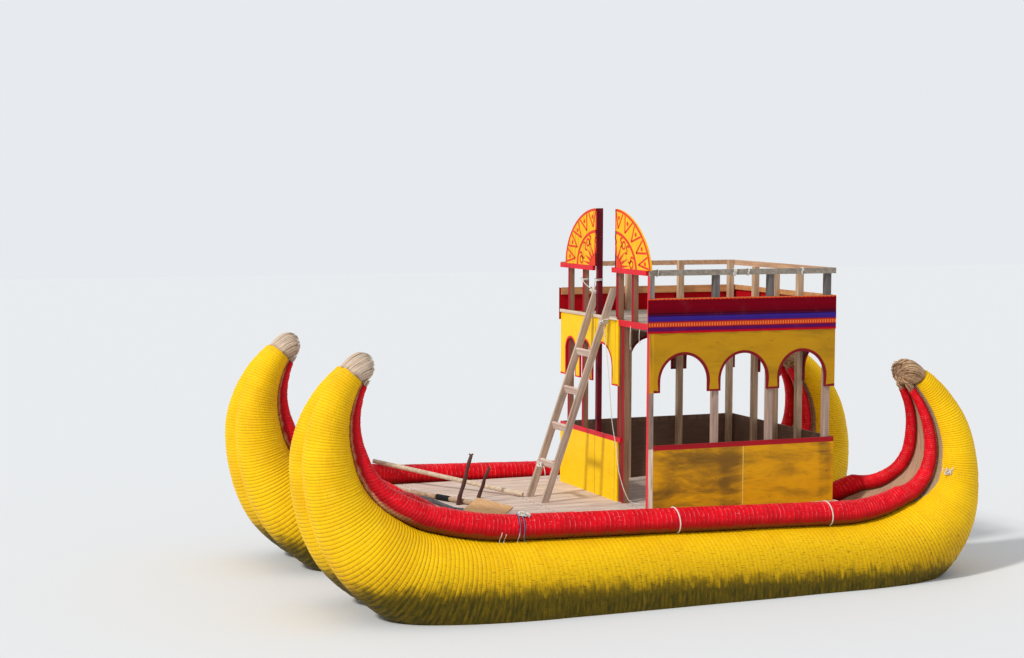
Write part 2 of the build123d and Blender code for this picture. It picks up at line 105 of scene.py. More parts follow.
# Hanging line: diameter, and route from the ladder's head to the deck
LINE_DIAMETER = 0.008
LINE_ROUTE = (
    (1.0960, 0.1793, 1.777), (1.1010, 0.1880, 1.700), (1.1000, 0.2030, 1.612), (1.0920, 0.2260, 1.520),
    (1.0880, 0.2420, 1.422), (1.0860, 0.2610, 1.318), (1.0820, 0.2740, 1.212), (1.0800, 0.2880, 1.108),
    (1.0770, 0.2970, 1.000), (1.0720, 0.3080, 0.895), (1.0670, 0.3220, 0.792), (1.0600, 0.3430, 0.692),
    (1.0560, 0.3750, 0.598), (1.0530, 0.4080, 0.512), (1.0460, 0.4120, 0.412), (1.0410, 0.4260, 0.318),
    (1.0360, 0.4680, 0.232), (1.0280, 0.5120, 0.156), (1.0060, 0.5310, 0.084), (0.9760, 0.5410, 0.030),
    (0.9300, 0.5620, 0.0043), (0.8850, 0.5920, 0.0043),
)

# Hulls: side of the boat, and the bundles of each with their places
HULLS = (("port", 1), ("starboard", -1))
REED_BUNDLES = [(word, where, ship_side, place)
                for word, ship_side in HULLS for where, place in (("outer", 1), ("inner", -1))]

# Ends of the hulls: way along the boat, and look of the cut reeds
ENDS = {"stern": (-1, "old_reed_ends"), "bow": (1, "reed_ends")}
TUFT_LENGTH = 0.210
TUFT_DROOP = 38.0

# Hull spine: where it starts to turn up, its bends as (degrees, radius), and its middle plane
HULL_Y = 1.2
AFT_X = CABIN_X - 0.8
FORE_X = CABIN_X + 2.5
STERN_BENDS = ((28.0, 2.0), (90.0, 0.905), (139.0, 1.02))
BOW_BENDS = ((20.0, 3.0), (90.0, 1.2), (133.0, 1.0))

# Room between twin bundles on each side of their middle, and between a roll and its bundle
TWIN_GAP = 0.0008
SEAT = 0.0003

# One turn of the winding: share of the turn, rise of the surface in metres, share of cord
BUNDLE_TURN = ((0.0, -0.0036, 1.0), (0.09, -0.0004, 0.12), (0.5, 0.0006, 0.0), (0.91, -0.0004, 0.12))
ROLL_TURN = ((0.0, 0.0016, 1.0), (0.09, -0.0022, 0.0), (0.5, 0.0010, 0.0), (0.91, -0.0022, 0.0))

# Hull sections in millimetres: turn, bundle radius, bundle offset, roll radius, lean of the inner roll
STERN_SECTIONS = (
    (0, 440, 375, 115, 62), (7, 434, 371, 113, 54), (14, 425, 365, 111, 40), (21, 413, 355, 108, 25),
    (28, 400, 345, 105, 12), (44, 355, 310, 96, 4), (60, 305, 270, 86, 2), (75, 255, 230, 76, 0),
    (90, 215, 195, 68, 0), (107, 180, 160, 60, 0), (124, 140, 115, 50, 0), (139, 105, 80, 40, 0),
)
BOW_SECTIONS = (
    (0, 480, 410, 118, 62), (5, 474, 406, 120, 56), (10, 465, 400, 121, 42), (15, 451, 388, 122, 28),
    (20, 435, 375, 122, 17), (32, 405, 350, 121, 5), (45, 370, 325, 118, 0), (56, 325, 290, 111, 0),
    (67, 278, 250, 101, 0), (78, 243, 220, 88, 0), (90, 215, 195, 75, 0), (105, 178, 158, 60, 0),
    (119, 143, 118, 48, 0), (133, 105, 80, 36, 0),
)


def unit(value):
    """A number kept between 0 and 1."""
    return min(1.0, max(0.0, value))


def drift(x, y, z):
    """Smooth noise at a spot, from -1 to 1."""
    return noise.noise(Vector((x, y, z)))


def bearings(count):
    """Even angles round a circle."""
    return [2 * pi * index / count for index in range(count)]


def shade(red, green, blue):
    """Linear colour of a paint given by its 0 to 255 values."""
    shares = (value / 255 for value in (red, green, blue))
    return tuple(((v + 0.055) / 1.055) ** 2.4 if v > 0.04 else v / 12.92 for v in shares)


def dim(colour, *shares):
    """A darker colour, by one share for all its channels or one for each."""
    return tuple(v * share for v, share in zip(colour, shares * (3 // len(shares))))


# Shader maths


class Value:
    """A shader socket that can stand in an expression."""

    def __init__(self, finish, socket):
        self.finish = finish
        self.socket = socket

    def maths(self, operation, first, second=None, clamp=False):
        """A sum of one or two numbers, worked out all over the surface."""
        settings = {"operation": operation, "use_clamp": clamp}
        return self.finish.add("ShaderNodeMath", settings, {0: first, 1: second})

    def __add__(self, other):
        return self.maths("ADD", self, other)

    __radd__ = __add__

    def __sub__(self, other):
        return self.maths("SUBTRACT", self, other)

    def __rsub__(self, other):
        return self.maths("SUBTRACT", other, self)

    def __mul__(self, other):
        return self.maths("MULTIPLY", self, other)

    __rmul__ = __mul__

    def __truediv__(self, other):
        return self.maths("DIVIDE", self, other)

    def __abs__(self):
        return self.maths("ABSOLUTE", self)

    def floor(self):
        return self.maths("FLOOR", self)

    def clamped(self):
        """The same number, kept between 0 and 1."""
        return self.maths("ADD", self, 0.0, clamp=True)


class Finish:
    """One material, built node by node."""

    def __init__(self, name, owner=None):
        self.material = owner or bpy.data.materials.new(name)
        self.material.use_nodes = True
        self.tree = self.material.node_tree
        self.tree.nodes.clear()

    def add(self, kind, settings=None, inputs=None, output=0):
        """A node of any type, with its settings and then the values of its sockets."""
        node = self.tree.nodes.new(kind)
        for key, value in (settings or {}).items():
            if key == "stops":
                elements = node.color_ramp.elements
                elements.remove(elements[1])
                for index, (place, colour) in enumerate(value):
                    element = elements[0] if index == 0 else elements.new(place)
                    element.position = place
                    element.color = (*colour, 1.0)
            else:
                setattr(node, key, value)
        for key, value in (inputs or {}).items():
            if isinstance(value, Value):
                self.tree.links.new(value.socket, node.inputs[key])
            elif value is not None:
                socket = node.inputs[key]
                socket.default_value = (*value, 1.0) if socket.type == "RGBA" else value
        return None if output is None else Value(self, node.outputs[output])

    def place(self):
        """Position on the boat, in metres."""
        return self.add("ShaderNodeTexCoord", output="Object")

    def part(self, vector, axis):
        """One of the three numbers of a vector."""
        return self.add("ShaderNodeSeparateXYZ", None, {0: vector}, "XYZ"[axis])

    def stretched(self, vector, factors, shift):
        """A place scaled by three factors and then shifted."""
        scaled = self.add("ShaderNodeVectorMath", {"operation": "MULTIPLY"}, {0: vector, 1: factors})
        return self.add("ShaderNodeVectorMath", {"operation": "ADD"}, {0: scaled, 1: shift})

    def facing(self, axis):
        """How far the surface faces along an axis of the boat, from -1 to 1."""
        normal = self.add("ShaderNodeTexCoord", output="Normal")
        return self.part(normal, axis)

    def spread(self, name):
        """A number kept with the mesh."""
        return self.add("ShaderNodeAttribute", {"attribute_name": name}, None, "Fac")

    def along(self):
        """Length along a wound piece and round it, in metres."""
        return self.add("ShaderNodeUVMap", {"uv_map": "Length and girth"})

    def cloud(self, vector, scale, detail, roughness=0.55, distortion=0.0):
        """Noise of one size in every direction."""
        inputs = {"Vector": vector, "Scale": scale, "Detail": detail, "Roughness": roughness,
                  "Distortion": distortion}
        return self.add("ShaderNodeTexNoise", None, inputs)

    def fibres(self, vector, factors, detail=3.0, roughness=0.55, distortion=0.0, shift=(0, 0, 0)):
        """Noise drawn out along one way, as reeds, grain and threads are."""
        return self.cloud(self.stretched(vector, factors, shift), 1.0, detail, roughness, distortion)

    def between(self, value, low, high):
        """0 below low, 1 above high, and a smooth rise between."""
        inputs = {"Value": value, "From Min": low, "From Max": high}
        return self.add("ShaderNodeMapRange", {"interpolation_type": "SMOOTHSTEP"}, inputs)

    def mix(self, share, first, second):
        """First colour where the share is 0, second where it is 1."""
        inputs = {0: share, 6: first, 7: second}
        return self.add("ShaderNodeMix", {"data_type": "RGBA"}, inputs, 2)

    def relief(self, height, distance, strength, under=None):
        """Fine bumps, on top of the bumps under them."""
        inputs = {"Height": height, "Distance": distance, "Strength": strength, "Normal": under}
        return self.add("ShaderNodeBump", None, inputs)

    def surface(self, colour, roughness, normal=None, *, specular):
        """Close the material with its colour, gloss and bumps."""
        inputs = {"Base Color": colour, "Roughness": roughness, "Normal": normal,
                  "Specular IOR Level": specular}
        shader = self.add("ShaderNodeBsdfPrincipled", None, inputs)
        self.add("ShaderNodeOutputMaterial", None, {"Surface": shader}, None)
        return self.material


# Finishes


def wound_reed_paint(name, paint, groove_shade_and_dirt, bare_paint, algae_and_shade):
    """Yellow paint over a reed bundle bound turn by turn with fine cord."""
    f = Finish(name)
    where = f.place()
    height = f.part(where, 2)
    reeds = f.fibres(f.along(), (7.0, 105.0, 1.0), 3.0, 0.6)
    stems = f.fibres(f.along(), (24.0, 62.0, 1.0), 2.0, shift=(1.0, 5.0, 0.0))
    patches = f.cloud(where, 2.3, 4.0)
    blotches = f.cloud(where, 9.0, 5.0, 0.65)
    groove = f.spread("groove")
    # Low rises towards the bottom of the bundle; the darker stems, dashes and cord lines there are partly
    # dirt and partly painted shade.
    low = 1.0 - f.between(height, 0.55, 1.05)
    colour = f.mix(f.between(patches, 0.35, 0.72), paint, dim(paint, 0.88, 0.82, 0.8))
    colour = f.mix(f.between(reeds, 0.50, 0.70) * 0.28, colour, shade(255, 226, 70))
    colour = f.mix(f.between(stems, 0.50, 0.72) * (0.14 + low * 0.30), colour, shade(196, 142, 8))
    # Dark dashes of dirt, denser low down, and dark cord lines that are partly painted shade in the grooves
    # of the winding.
    flakes = f.between(f.fibres(f.along(), (16.0, 95.0, 1.0), shift=(3.0, 1.0, 0.0)), 0.60, 0.65)
    colour = f.mix((flakes * (0.12 + low * 0.85)).clamped(), colour, groove_shade_and_dirt)
    line = f.between(groove, 0.25, 0.85)
    colour = f.mix((line * (0.30 + stems * 0.55 + low * 0.50)).clamped(), colour, groove_shade_and_dirt)
    # Painted shade: the yellow darkens towards the bottom of the bundle, where the hull curves under.
    painted_shade_low = (1.0 - f.between(height + (patches - 0.5) * 0.2, 0.55, 0.92)) * 0.45
    colour = f.mix(painted_shade_low, colour, shade(150, 118, 2))
    streaks = f.fibres(f.along(), (30.0, 7.0, 1.0))
    trimmed = height - f.part(where, 0) * 0.03
    # Dark olive band along the waterline, streaked upwards: partly algal growth and partly painted shade.
    wet_and_shaded = (1.0 - f.between(trimmed + (blotches - 0.5) * 0.16 + (streaks - 0.5) * 0.30, 0.47, 0.66)).clamped()
    wet_and_shaded = wet_and_shaded * (0.66 + streaks * 0.6)
    colour = f.mix((wet_and_shaded * 0.95).clamped(), colour, algae_and_shade)
    bare = f.mix(reeds, bare_paint, dim(bare_paint, 0.45))
    colour = f.mix(f.between(f.spread("bare") + (blotches - 0.5) * 0.35, 0.40, 0.60), colour, bare)
    fine = f.relief(reeds * 0.65 + stems * 0.35, 0.010, 0.8)
    return f.surface(colour, 0.46 + blotches * 0.25, f.relief(blotches, 0.006, 0.25, fine), specular=0.14)


def wound_roll_paint(name, paint, worn, under):
    """Red paint over a reed roll: its cord is pale on top, partly rubbed and partly painted highlight; below,
    painted shade darkens the red, and the underside is bare and brown.
    """
    f = Finish(name)
    reeds = f.fibres(f.along(), (9.0, 120.0, 1.0))
    blotches = f.cloud(f.place(), 7.0, 4.0, 0.6)
    rubbed = f.fibres(f.along(), (10.0, 22.0, 1.0), 4.0)
    low = f.spread("under")
    colour = f.mix(f.between(blotches, 0.3, 0.7), paint, dim(paint, 0.74))
    colour = f.mix(f.between(reeds, 0.56, 0.74) * 0.5, colour, dim(paint, 0.5))
    scratch = f.between(f.fibres(f.along(), (13.0, 130.0, 1.0), shift=(7.0, 2.0, 0.0)), 0.66, 0.70)
    colour = f.mix(scratch * 0.8 * (1.0 - low), colour, worn)
    # Pale cord, strongest on top: partly rubbed paint and partly painted highlight.
    cord = f.between(f.spread("cord"), 0.25, 0.75)
    colour = f.mix((cord * f.between(rubbed, 0.40, 0.64) * (0.72 - low * 0.5)).clamped(), colour, worn)
    bare = f.mix(reeds, under, dim(under, 0.35))
    risen = f.between(f.part(f.place(), 2), 1.15, 1.45)
    bare = f.mix(risen * 0.9, bare, shade(240, 208, 170))
    # Painted shade: the red darkens round the lower side of the roll.
    colour = f.mix(f.between(low, 0.40, 0.88) * 0.70, colour, dim(paint, 0.3))
    fade = low + (rubbed - 0.5) * (0.4 - risen * 0.2) - risen * 0.10
    colour = f.mix(f.between(fade, 0.80, 1.0), colour, bare)
    fine = f.relief(reeds, 0.006, 0.7)
    return f.surface(colour, 0.38 + blotches * 0.2, fine, specular=0.14)


def reed_ends_finish(name, light, dark):
    """Dry cut reeds, each a little different."""
    f = Finish(name)
    where = f.place()
    each = f.spread("each")
    fibres = f.fibres(where, (60.0, 260.0, 60.0), 2.0)
    colour = f.mix(each, light, dark)
    colour = f.mix(fibres * 0.45, colour, dim(dark, 0.35))
    colour = f.mix(f.spread("core"), colour, shade(150, 122, 98))
    return f.surface(colour, 0.85, f.relief(fibres, 0.002, 0.5), specular=0.2)


def reed_bed_finish(name, pale, brown):
    """Bare reeds laid lengthwise: pale as painted highlight beside the outer roll, and brown as painted shade
    beside the inner one.
    """
    f = Finish(name)
    reeds = f.fibres(f.along(), (2.2, 110.0, 1.0), 3.0, 0.6)
    patches = f.cloud(f.place(), 5.0, 4.0)
    # Painted light and shade: pale on the lit side by the outer roll, brown on the shaded side by the inner
    # one.
    light = f.mix(f.between(f.spread("across") + (patches - 0.5) * 0.35, 0.34, 0.50), pale, brown)
    colour = f.mix(f.between(reeds, 0.40, 0.66) * 0.6, light, shade(124, 92, 70))
    return f.surface(colour, 0.8, f.relief(reeds, 0.006, 0.8), specular=0.15)


def timber(name, light, dark, axis, pitch=None, start=0.0, grey=0.0, knots=0.35, tilt=None, port=None,
           above=None):
    """Weathered wood with grain along one axis, each board a little different where a pitch is given.

    Port gives the timbers of the port side another colour, and above gives one to what stands over the roof.
    """
    f = Finish(name)
    where = f.place()
    if tilt is not None:
        turned = {"Vector": where, "Angle": tilt}
        where = f.add("ShaderNodeVectorRotate", {"rotation_type": "Y_AXIS"}, turned)
    factors = [34.0, 34.0, 34.0]
    factors[axis] = 1.6
    if pitch:
        board = ((f.part(where, 1) - start) / pitch).floor()
        tone = f.add("ShaderNodeTexWhiteNoise", {"noise_dimensions": "1D"}, {"W": board})
    else:
        tone = f.cloud(where, 1.3, 2.0)
    grain = f.fibres(where, tuple(factors), 5.0, 0.65, 0.6)
    fibres = f.fibres(where, tuple(v * 4 for v in factors))
    stains = f.cloud(where, 4.0, 4.0, 0.6)
    figure = f.between(grain, 0.32, 0.70)
    colour = f.mix(figure, light, dark)
    colour = f.mix(f.between(fibres, 0.52, 0.75) * 0.45, colour, dim(dark, 0.45))
    colour = f.mix(tone * 0.45, colour, dim(light, 0.62))
    colour = f.mix(f.between(stains, 0.52, 0.80) * knots, colour, dim(dark, 0.5))
    if grey:
        colour = f.mix(f.between(stains, 0.30, 0.62) * grey, colour, shade(150, 144, 138))
    # The port side and what stands over the roof get colours of their own; the port posts' dark grey over the
    # roof is partly weathering and partly painted shade.
    for other, way, low, high in ((port, 1, 0.975, 0.985), (above, 2, DECK_Z + 1.80, DECK_Z + 1.82)):
        if other:
            aside = f.mix(figure, other, dim(other, 0.55))
            colour = f.mix(f.between(f.part(where, way), low, high), colour, aside)
    bumps = f.relief(grain * 0.6 + fibres * 0.4, 0.003, 0.55)
    return f.surface(colour, 0.72 + stains * 0.15, bumps, specular=0.3)


def worn_paint(name, paint, wood, wear, gloss, axis):
    """Brushed paint on timber, thin and chipped in places."""
    f = Finish(name)
    where = f.place()
    factors = [22.0, 22.0, 22.0]
    factors[axis] = 3.0
    brush = f.fibres(where, tuple(factors), 4.0)
    chips = f.cloud(where, 26.0, 5.0, 0.7)
    broad = f.cloud(where, 2.2, 3.0)
    colour = f.mix(f.between(brush, 0.3, 0.75) * 0.5, paint, dim(paint, 0.62))
    colour = f.mix(f.between(broad, 0.5, 0.8) * 0.4, colour, dim(paint, 0.5))
    colour = f.mix(f.between(chips + broad * 0.2, 0.80 - wear * 0.16, 0.86 - wear * 0.12), colour, wood)
    bumps = f.relief(brush * 0.6 + chips * 0.4, 0.002, 0.4)
    return f.surface(colour, gloss + chips * 0.2, bumps, specular=0.18)


def ply_paint(name, paint, stain, axis, sign, wear, boards=(), seams=()):
    """Painted plywood outside, bare inside. Wear lets the brown ply show.

    Boards are (low x, high x, share), and seams are (axis, place, width, colour).
    """
    f = Finish(name)
    where = f.place()
    brush = f.fibres(where, (5.0, 5.0, 9.0), 5.0, 0.6, 0.8)
    broad = f.cloud(f.stretched(where, (0.8, 0.8, 3.0), (2.4, 0.3, 5.2)), 1.9, 5.0, 0.62, 0.4)
    fine = f.fibres(where, (10.0, 10.0, 60.0), 4.0)
    x = f.part(where, 0)
    worn = broad
    for low, high, share in boards:
        edge = 0.25 * (high - low)
        inside_board = f.between(x, low - edge, low + edge) * (1.0 - f.between(x, high - edge, high + edge))
        worn = worn + inside_board * share
    colour = f.mix(f.between(brush, 0.35, 0.7) * 0.4, paint, dim(paint, 0.85, 0.8, 0.9))
    rubbed = f.between(worn, 0.54 - wear * 0.16, 0.92 - wear * 0.16) * (0.2 + wear)
    colour = f.mix(rubbed.clamped(), colour, stain)
    colour = f.mix(f.between(fine, 0.55, 0.75) * (0.10 + wear * 0.25), colour, dim(stain, 0.6))
    for way, spot, width, tone in seams:
        off = abs(f.part(where, way) - spot)
        colour = f.mix((1.0 - f.between(off, 0.5 * width, 0.5 * width + 0.0015)) * 0.8, colour, tone)
    bare = f.mix(fine, WALL_WOOD, dim(WALL_WOOD, 0.5))
    colour = f.mix(f.between(f.facing(axis) * sign, -0.5, 0.1), bare, colour)
    bumps = f.relief(brush * 0.5 + fine * 0.5, 0.002, 0.35)
    return f.surface(colour, 0.45 + brush * 0.2, bumps, specular=0.18)


def front_edge_paint(name, paint, wood, axis=0, sign=1, sides=()):
    """Timber painted on the face that looks one way. Sides are (height above deck, colour), low to high."""
    f = Finish(name)
    where = f.place()
    grain = f.fibres(where, (40.0, 40.0, 3.0), 5.0, 0.6, 0.4)
    broad = f.cloud(where, 3.0, 4.0)
    chips = f.cloud(where, 30.0, 5.0, 0.7)
    height = f.part(where, 2)
    bare = wood
    for level, colour in sides:
        bare = f.mix(f.between(height, DECK_Z + level - 0.008, DECK_Z + level + 0.008), bare, colour)
    bare = f.mix(f.between(grain, 0.4, 0.7) * 0.5, bare, dim(BROWN, 0.4))
    colour = f.mix(f.between(broad, 0.4, 0.7) * 0.5, paint, dim(paint, 0.55))
    colour = f.mix(f.between(chips, 0.70, 0.76), colour, BROWN)
    colour = f.mix(f.between(f.facing(axis) * sign, 0.2, 0.6), bare, colour)
    return f.surface(colour, 0.6, f.relief(grain, 0.002, 0.4), specular=0.18)


def striped_cloth_finish(name, stripes):
    """Woven cloth whose stripes run along the band."""
    f = Finish(name)
    weave = f.along()
    height = f.part(weave, 1)
    along = f.part(weave, 0)
    wander = f.fibres(weave, (3.0, 9.0, 1.0), 2.0) - 0.5
    place = (height + wander * 0.006) / CLOTH_HEIGHT
    colour = f.add("ShaderNodeValToRGB", {"stops": stripes}, {0: place})
    dots = f.add("ShaderNodeMath", {"operation": "SINE"}, {0: along * 2 * pi / 0.028})
    row = f.between(place, 0.70, 0.72) * (1.0 - f.between(place, 0.79, 0.81))
    colour = f.mix((f.between(dots, -0.1, 0.3) * row * 0.85).clamped(), colour, shade(252, 132, 60))
    lines = f.add("ShaderNodeMath", {"operation": "SINE"}, {0: height * 2 * pi / 0.011})
    plain = f.between(place, 0.07, 0.10) * (1.0 - f.between(place, 0.39, 0.42))
    colour = f.mix(f.between(lines, 0.55, 0.95) * plain * 0.35, colour, shade(66, 2, 20))
    scallop = f.add("ShaderNodeMath", {"operation": "SINE"}, {0: along * 2 * pi / SCALLOP})
    rim = 1.0 - f.between(place + scallop * 0.012, 0.030, 0.042)
    colour = f.mix(rim, colour, shade(222, 84, 36))
    threads = f.fibres(weave, (900.0, 60.0, 1.0), 2.0)
    cross = f.fibres(weave, (60.0, 900.0, 1.0), 2.0)
    fade = f.cloud(weave, 5.0, 4.0)
    colour = f.mix(f.between(threads, 0.45, 0.75) * 0.30, colour, shade(18, 4, 12))
    colour = f.mix(f.between(fade, 0.52, 0.8) * 0.22, colour, shade(140, 60, 70))
    # Back of the cloth: plain red, partly the cloth's reverse and partly made brighter than the front as
    # painted light.
    back = f.mix(f.between(threads, 0.45, 0.75) * 0.4, shade(186, 14, 26), shade(120, 6, 16))
    colour = f.mix(f.spread("back"), colour, back)
    return f.surface(colour, 0.9, f.relief(threads * 0.5 + cross * 0.5, 0.0012, 0.6), specular=0.06)


def rope_finish(name, colour, shadow):
    """Twisted or braided cord."""
    f = Finish(name)
    where = f.place()
    strands = f.cloud(where, 190.0, 2.0)
    broad = f.cloud(where, 12.0, 3.0)
    tone = f.mix(f.between(strands, 0.42, 0.68), colour, shadow)
    tone = f.mix(f.between(broad, 0.45, 0.8) * 0.4, tone, shadow)
    return f.surface(tone, 0.85, f.relief(strands, 0.0015, 0.7), specular=0.2)


def plain_studio(name, colour, roughness):
    """Pale floor or backdrop that shows white to the camera and keeps soft shadows."""
    f = Finish(name)
    tone = f.cloud(f.place(), 0.6, 2.0)
    return f.surface(f.mix(tone * 0.04, colour, dim(colour, 0.96)), roughness, specular=0.1)


FINISHES = {}


def finish(name):
    """The named material, made the first time that it is asked for."""
    if name not in FINISHES:
        FINISHES[name] = RECIPES[name]()
    return FINISHES[name]


def tint(key):
    """A colour that the user may change."""
    return tuple(getattr(bpy.context.scene.reed_boat, key))


BROWN = shade(120, 84, 62)
# Cloth stripes from the top edge down; the crimson field is the cloth's own colour, darkened in part as
# painted shade.
STRIPES = (
    (0.0, shade(212, 66, 30)), (0.03, shade(176, 22, 30)), (0.055, shade(118, 2, 22)),
    (0.20, shade(126, 1, 24)), (0.40, shade(108, 1, 20)), (0.43, shade(52, 4, 24)),
    (0.47, shade(88, 8, 54)), (0.50, shade(38, 8, 54)), (0.53, shade(60, 38, 134)),
    (0.64, shade(54, 32, 126)), (0.67, shade(136, 12, 44)), (0.695, shade(196, 60, 34)),
    (0.81, shade(200, 58, 36)), (0.83, shade(110, 10, 50)), (0.88, shade(82, 20, 96)),
    (0.93, shade(100, 14, 70)), (0.945, shade(176, 8, 28)), (1.0, shade(190, 10, 32)),
)
WALL_WOOD = shade(128, 100, 82)
# Sides of the corner post, low to high: bare wood, then from 0.61 m a grey-brown that is painted shadow, then
# yellow where the valance covers it, then grey from 1.75 m.
POST_SIDES = ((0.61, shade(150, 132, 118)), (1.15, shade(206, 152, 16)), (1.75, shade(140, 132, 126)))
PORT_BOARDS = (
    (CABIN_X + 0.01, CABIN_X + 0.24, 0.13), (CABIN_X + 0.01, CABIN_X + 1.0, 0.11),
    (CABIN_X - 1.0, CABIN_X - 0.86, 0.12),
)
FRONT_SEAMS = ((1, -0.175, 0.007, shade(96, 72, 20)), (1, 0.29, 0.006, shade(150, 112, 16)))
PORT_SEAMS = ((0, CABIN_X - 0.005, 0.008, shade(244, 214, 110)),)
RED_TRIM = shade(150, 16, 30)

# Each finish by its name: what makes it, and with which colours and wear
RECIPES = {
    # Bundle paints: yellow; dark marks that are partly dirt and partly painted shade in the grooves; bare
    # reed; and a dark olive that is partly algal growth and partly painted shade.
    "bundle_yellow": lambda: wound_reed_paint(
        "Yellow paint on wound reed", tint("yellow"), shade(112, 84, 6), shade(196, 164, 130),
        shade(62, 56, 4)),
    # Roll paints: red; a pale pink that is partly rubbed paint and partly painted highlight on top; bare
    # brown reed underneath.
    "roll_red": lambda: wound_roll_paint(
        "Red paint on wound reed", tint("red"), shade(252, 150, 150), shade(144, 80, 36)),
    "reed_ends": lambda: reed_ends_finish("Dry reed ends", shade(250, 232, 212), shade(210, 182, 156)),
    "old_reed_ends": lambda: reed_ends_finish(
        "Weathered reed ends", shade(236, 204, 166), shade(168, 122, 84)),
    # Reed bed: a pale painted highlight by the outer roll and a brown painted shade by the inner one.
    "reed_bed": lambda: reed_bed_finish("Bare reed bed", shade(246, 226, 178), shade(196, 160, 132)),
    "deck_planks": lambda: timber(
        "Pale deck planks", shade(244, 226, 212), shade(186, 160, 146), 0, PLANK_PITCH, PLANK_EDGE),
    "deck_beams": lambda: timber("Deck beams", shade(150, 124, 100), shade(92, 72, 56), 1),
    "brown_wood": lambda: timber("Brown sawn wood", shade(168, 138, 120), shade(110, 84, 70), 2, grey=0.45),
    # Posts to port: their parts over the roof are dark grey, partly weathering and partly painted shade.
    "port_posts": lambda: timber(
        "Posts to port", shade(196, 164, 146), shade(140, 112, 98), 2, grey=0.3, above=shade(112, 106, 104)),
    "rails": lambda: timber(
        "Top rails", shade(222, 180, 142), shade(184, 136, 102), 1, grey=0.1, port=shade(160, 148, 134)),
    "tan_bar": lambda: timber("Tan boards", shade(226, 168, 112), shade(184, 122, 74), 0),
    "pale_post": lambda: timber("Pale posts", shade(226, 196, 162), shade(168, 130, 100), 2, grey=0.1),
    "roof_wood": lambda: timber(
        "Roof planks", shade(206, 192, 176), shade(150, 132, 116), 0, pitch=0.2185, start=-0.9747),
    "edge_board": lambda: timber(
        "Cream edge board", shade(240, 224, 206), shade(200, 176, 156), 1, knots=0.15),
    "ladder_rail": lambda: timber(
        "Ladder rails", shade(222, 196, 174), shade(150, 126, 110), 2, grey=0.2, tilt=LADDER_LEAN),
    "ladder_rung": lambda: timber("Ladder rungs", shade(236, 216, 202), shade(190, 158, 142), 1, grey=0.1),
    "pole_wood": lambda: timber("Peeled pole", shade(232, 214, 190), shade(186, 160, 132), 0),
    "pin_wood": lambda: timber("Dark pins", shade(96, 46, 38), shade(44, 20, 18), 2, grey=0.1),
    "oar_wood": lambda: timber("Oar shafts", shade(206, 176, 148), shade(150, 118, 92), 1),
    "bare_ply": lambda: timber("Bare plywood", shade(240, 196, 142), shade(222, 164, 106), 1, knots=0.15),
    "red_paint": lambda: worn_paint("Worn red paint", shade(168, 16, 30), BROWN, 0.5, 0.45, 0),
    "inner_rail": lambda: front_edge_paint("Starboard rail", RED_TRIM, WALL_WOOD, 1, -1),
    "rear_rail": lambda: front_edge_paint("Rear rail", RED_TRIM, WALL_WOOD, 0, -1),
    "bright_red": lambda: worn_paint(
        "Bright red paint", shade(228, 24, 44), shade(200, 120, 100), 0.15, 0.35, 1),
    "maroon": lambda: worn_paint("Maroon paint", shade(112, 10, 30), BROWN, 0.4, 0.45, 2),
    "arch_red": lambda: worn_paint("Dark red edging", shade(132, 10, 26), BROWN, 0.2, 0.5, 0),
    "front_ply": lambda: ply_paint(
        "Bright yellow plywood", shade(255, 208, 8), shade(196, 140, 30), 0, 1, 0.05, seams=FRONT_SEAMS),
    # Port side: the plywood's darker ochre is partly worn paint and stain and partly painted shade; the
    # valance's darker ochre is painted shade on the front's yellow paint.
    "port_ply": lambda: ply_paint(
        "Worn yellow plywood", shade(228, 164, 6), shade(118, 84, 26), 1, 1, 0.75, PORT_BOARDS, PORT_SEAMS),
    "port_valance": lambda: ply_paint(
        "Yellow valance to port", shade(192, 140, 4), shade(112, 86, 12), 1, 1, 0.45),
    "starboard_ply": lambda: ply_paint(
        "Yellow plywood to starboard", shade(236, 180, 10), shade(132, 92, 26), 1, -1, 0.6),
    "rear_ply": lambda: ply_paint(
        "Yellow plywood astern", shade(236, 180, 10), shade(132, 92, 26), 0, -1, 0.5),
    "front_posts": lambda: front_edge_paint(
        "Posts with red fronts", shade(158, 18, 32), shade(160, 118, 92)),
    "corner_post": lambda: front_edge_paint(
        "Corner post with a red front", shade(222, 60, 68), shade(240, 222, 204), sides=POST_SIDES),
    "port_sun_board": lambda: worn_paint(
        "Yellow board paint", shade(255, 190, 16), shade(240, 130, 10), 0.2, 0.4, 2),
    "starboard_sun_board": lambda: front_edge_paint(
        "Board with a dark edge", shade(112, 10, 30), shade(255, 190, 16), 1),
    "sun_red": lambda: worn_paint(
        "Red-orange line paint", shade(236, 60, 24), shade(250, 140, 30), 0.1, 0.4, 2),
    "cloth": lambda: striped_cloth_finish("Striped woven cloth", STRIPES),
    "white_rope": lambda: rope_finish("White rope", shade(240, 236, 228), shade(180, 172, 162)),
    "teal_cord": lambda: rope_finish("Teal cord", shade(44, 140, 176), shade(20, 84, 116)),
    "rubber": lambda: rope_finish("Black rubber strip", shade(34, 34, 36), shade(14, 14, 16)),
    "grey_blade": lambda: timber("Grey blade", shade(96, 98, 104), shade(54, 56, 62), 1),
    "nails": lambda: rope_finish("Rusty nail heads", shade(92, 66, 54), shade(52, 36, 30)),
}


# Mesh helpers


def linked(name, data):
    """An object of the scene that holds a mesh, curve, light or camera."""
    made = bpy.data.objects.new(name, data)
    bpy.context.scene.collection.objects.link(made)
    return made


def ease(made, width):
    """Round a piece's sharp edges a little."""
    eased = made.modifiers.new("Eased corners", "BEVEL")
    eased.width = width
    eased.segments = 2
    eased.limit_method = "ANGLE"
    eased.angle_limit = radians(40)


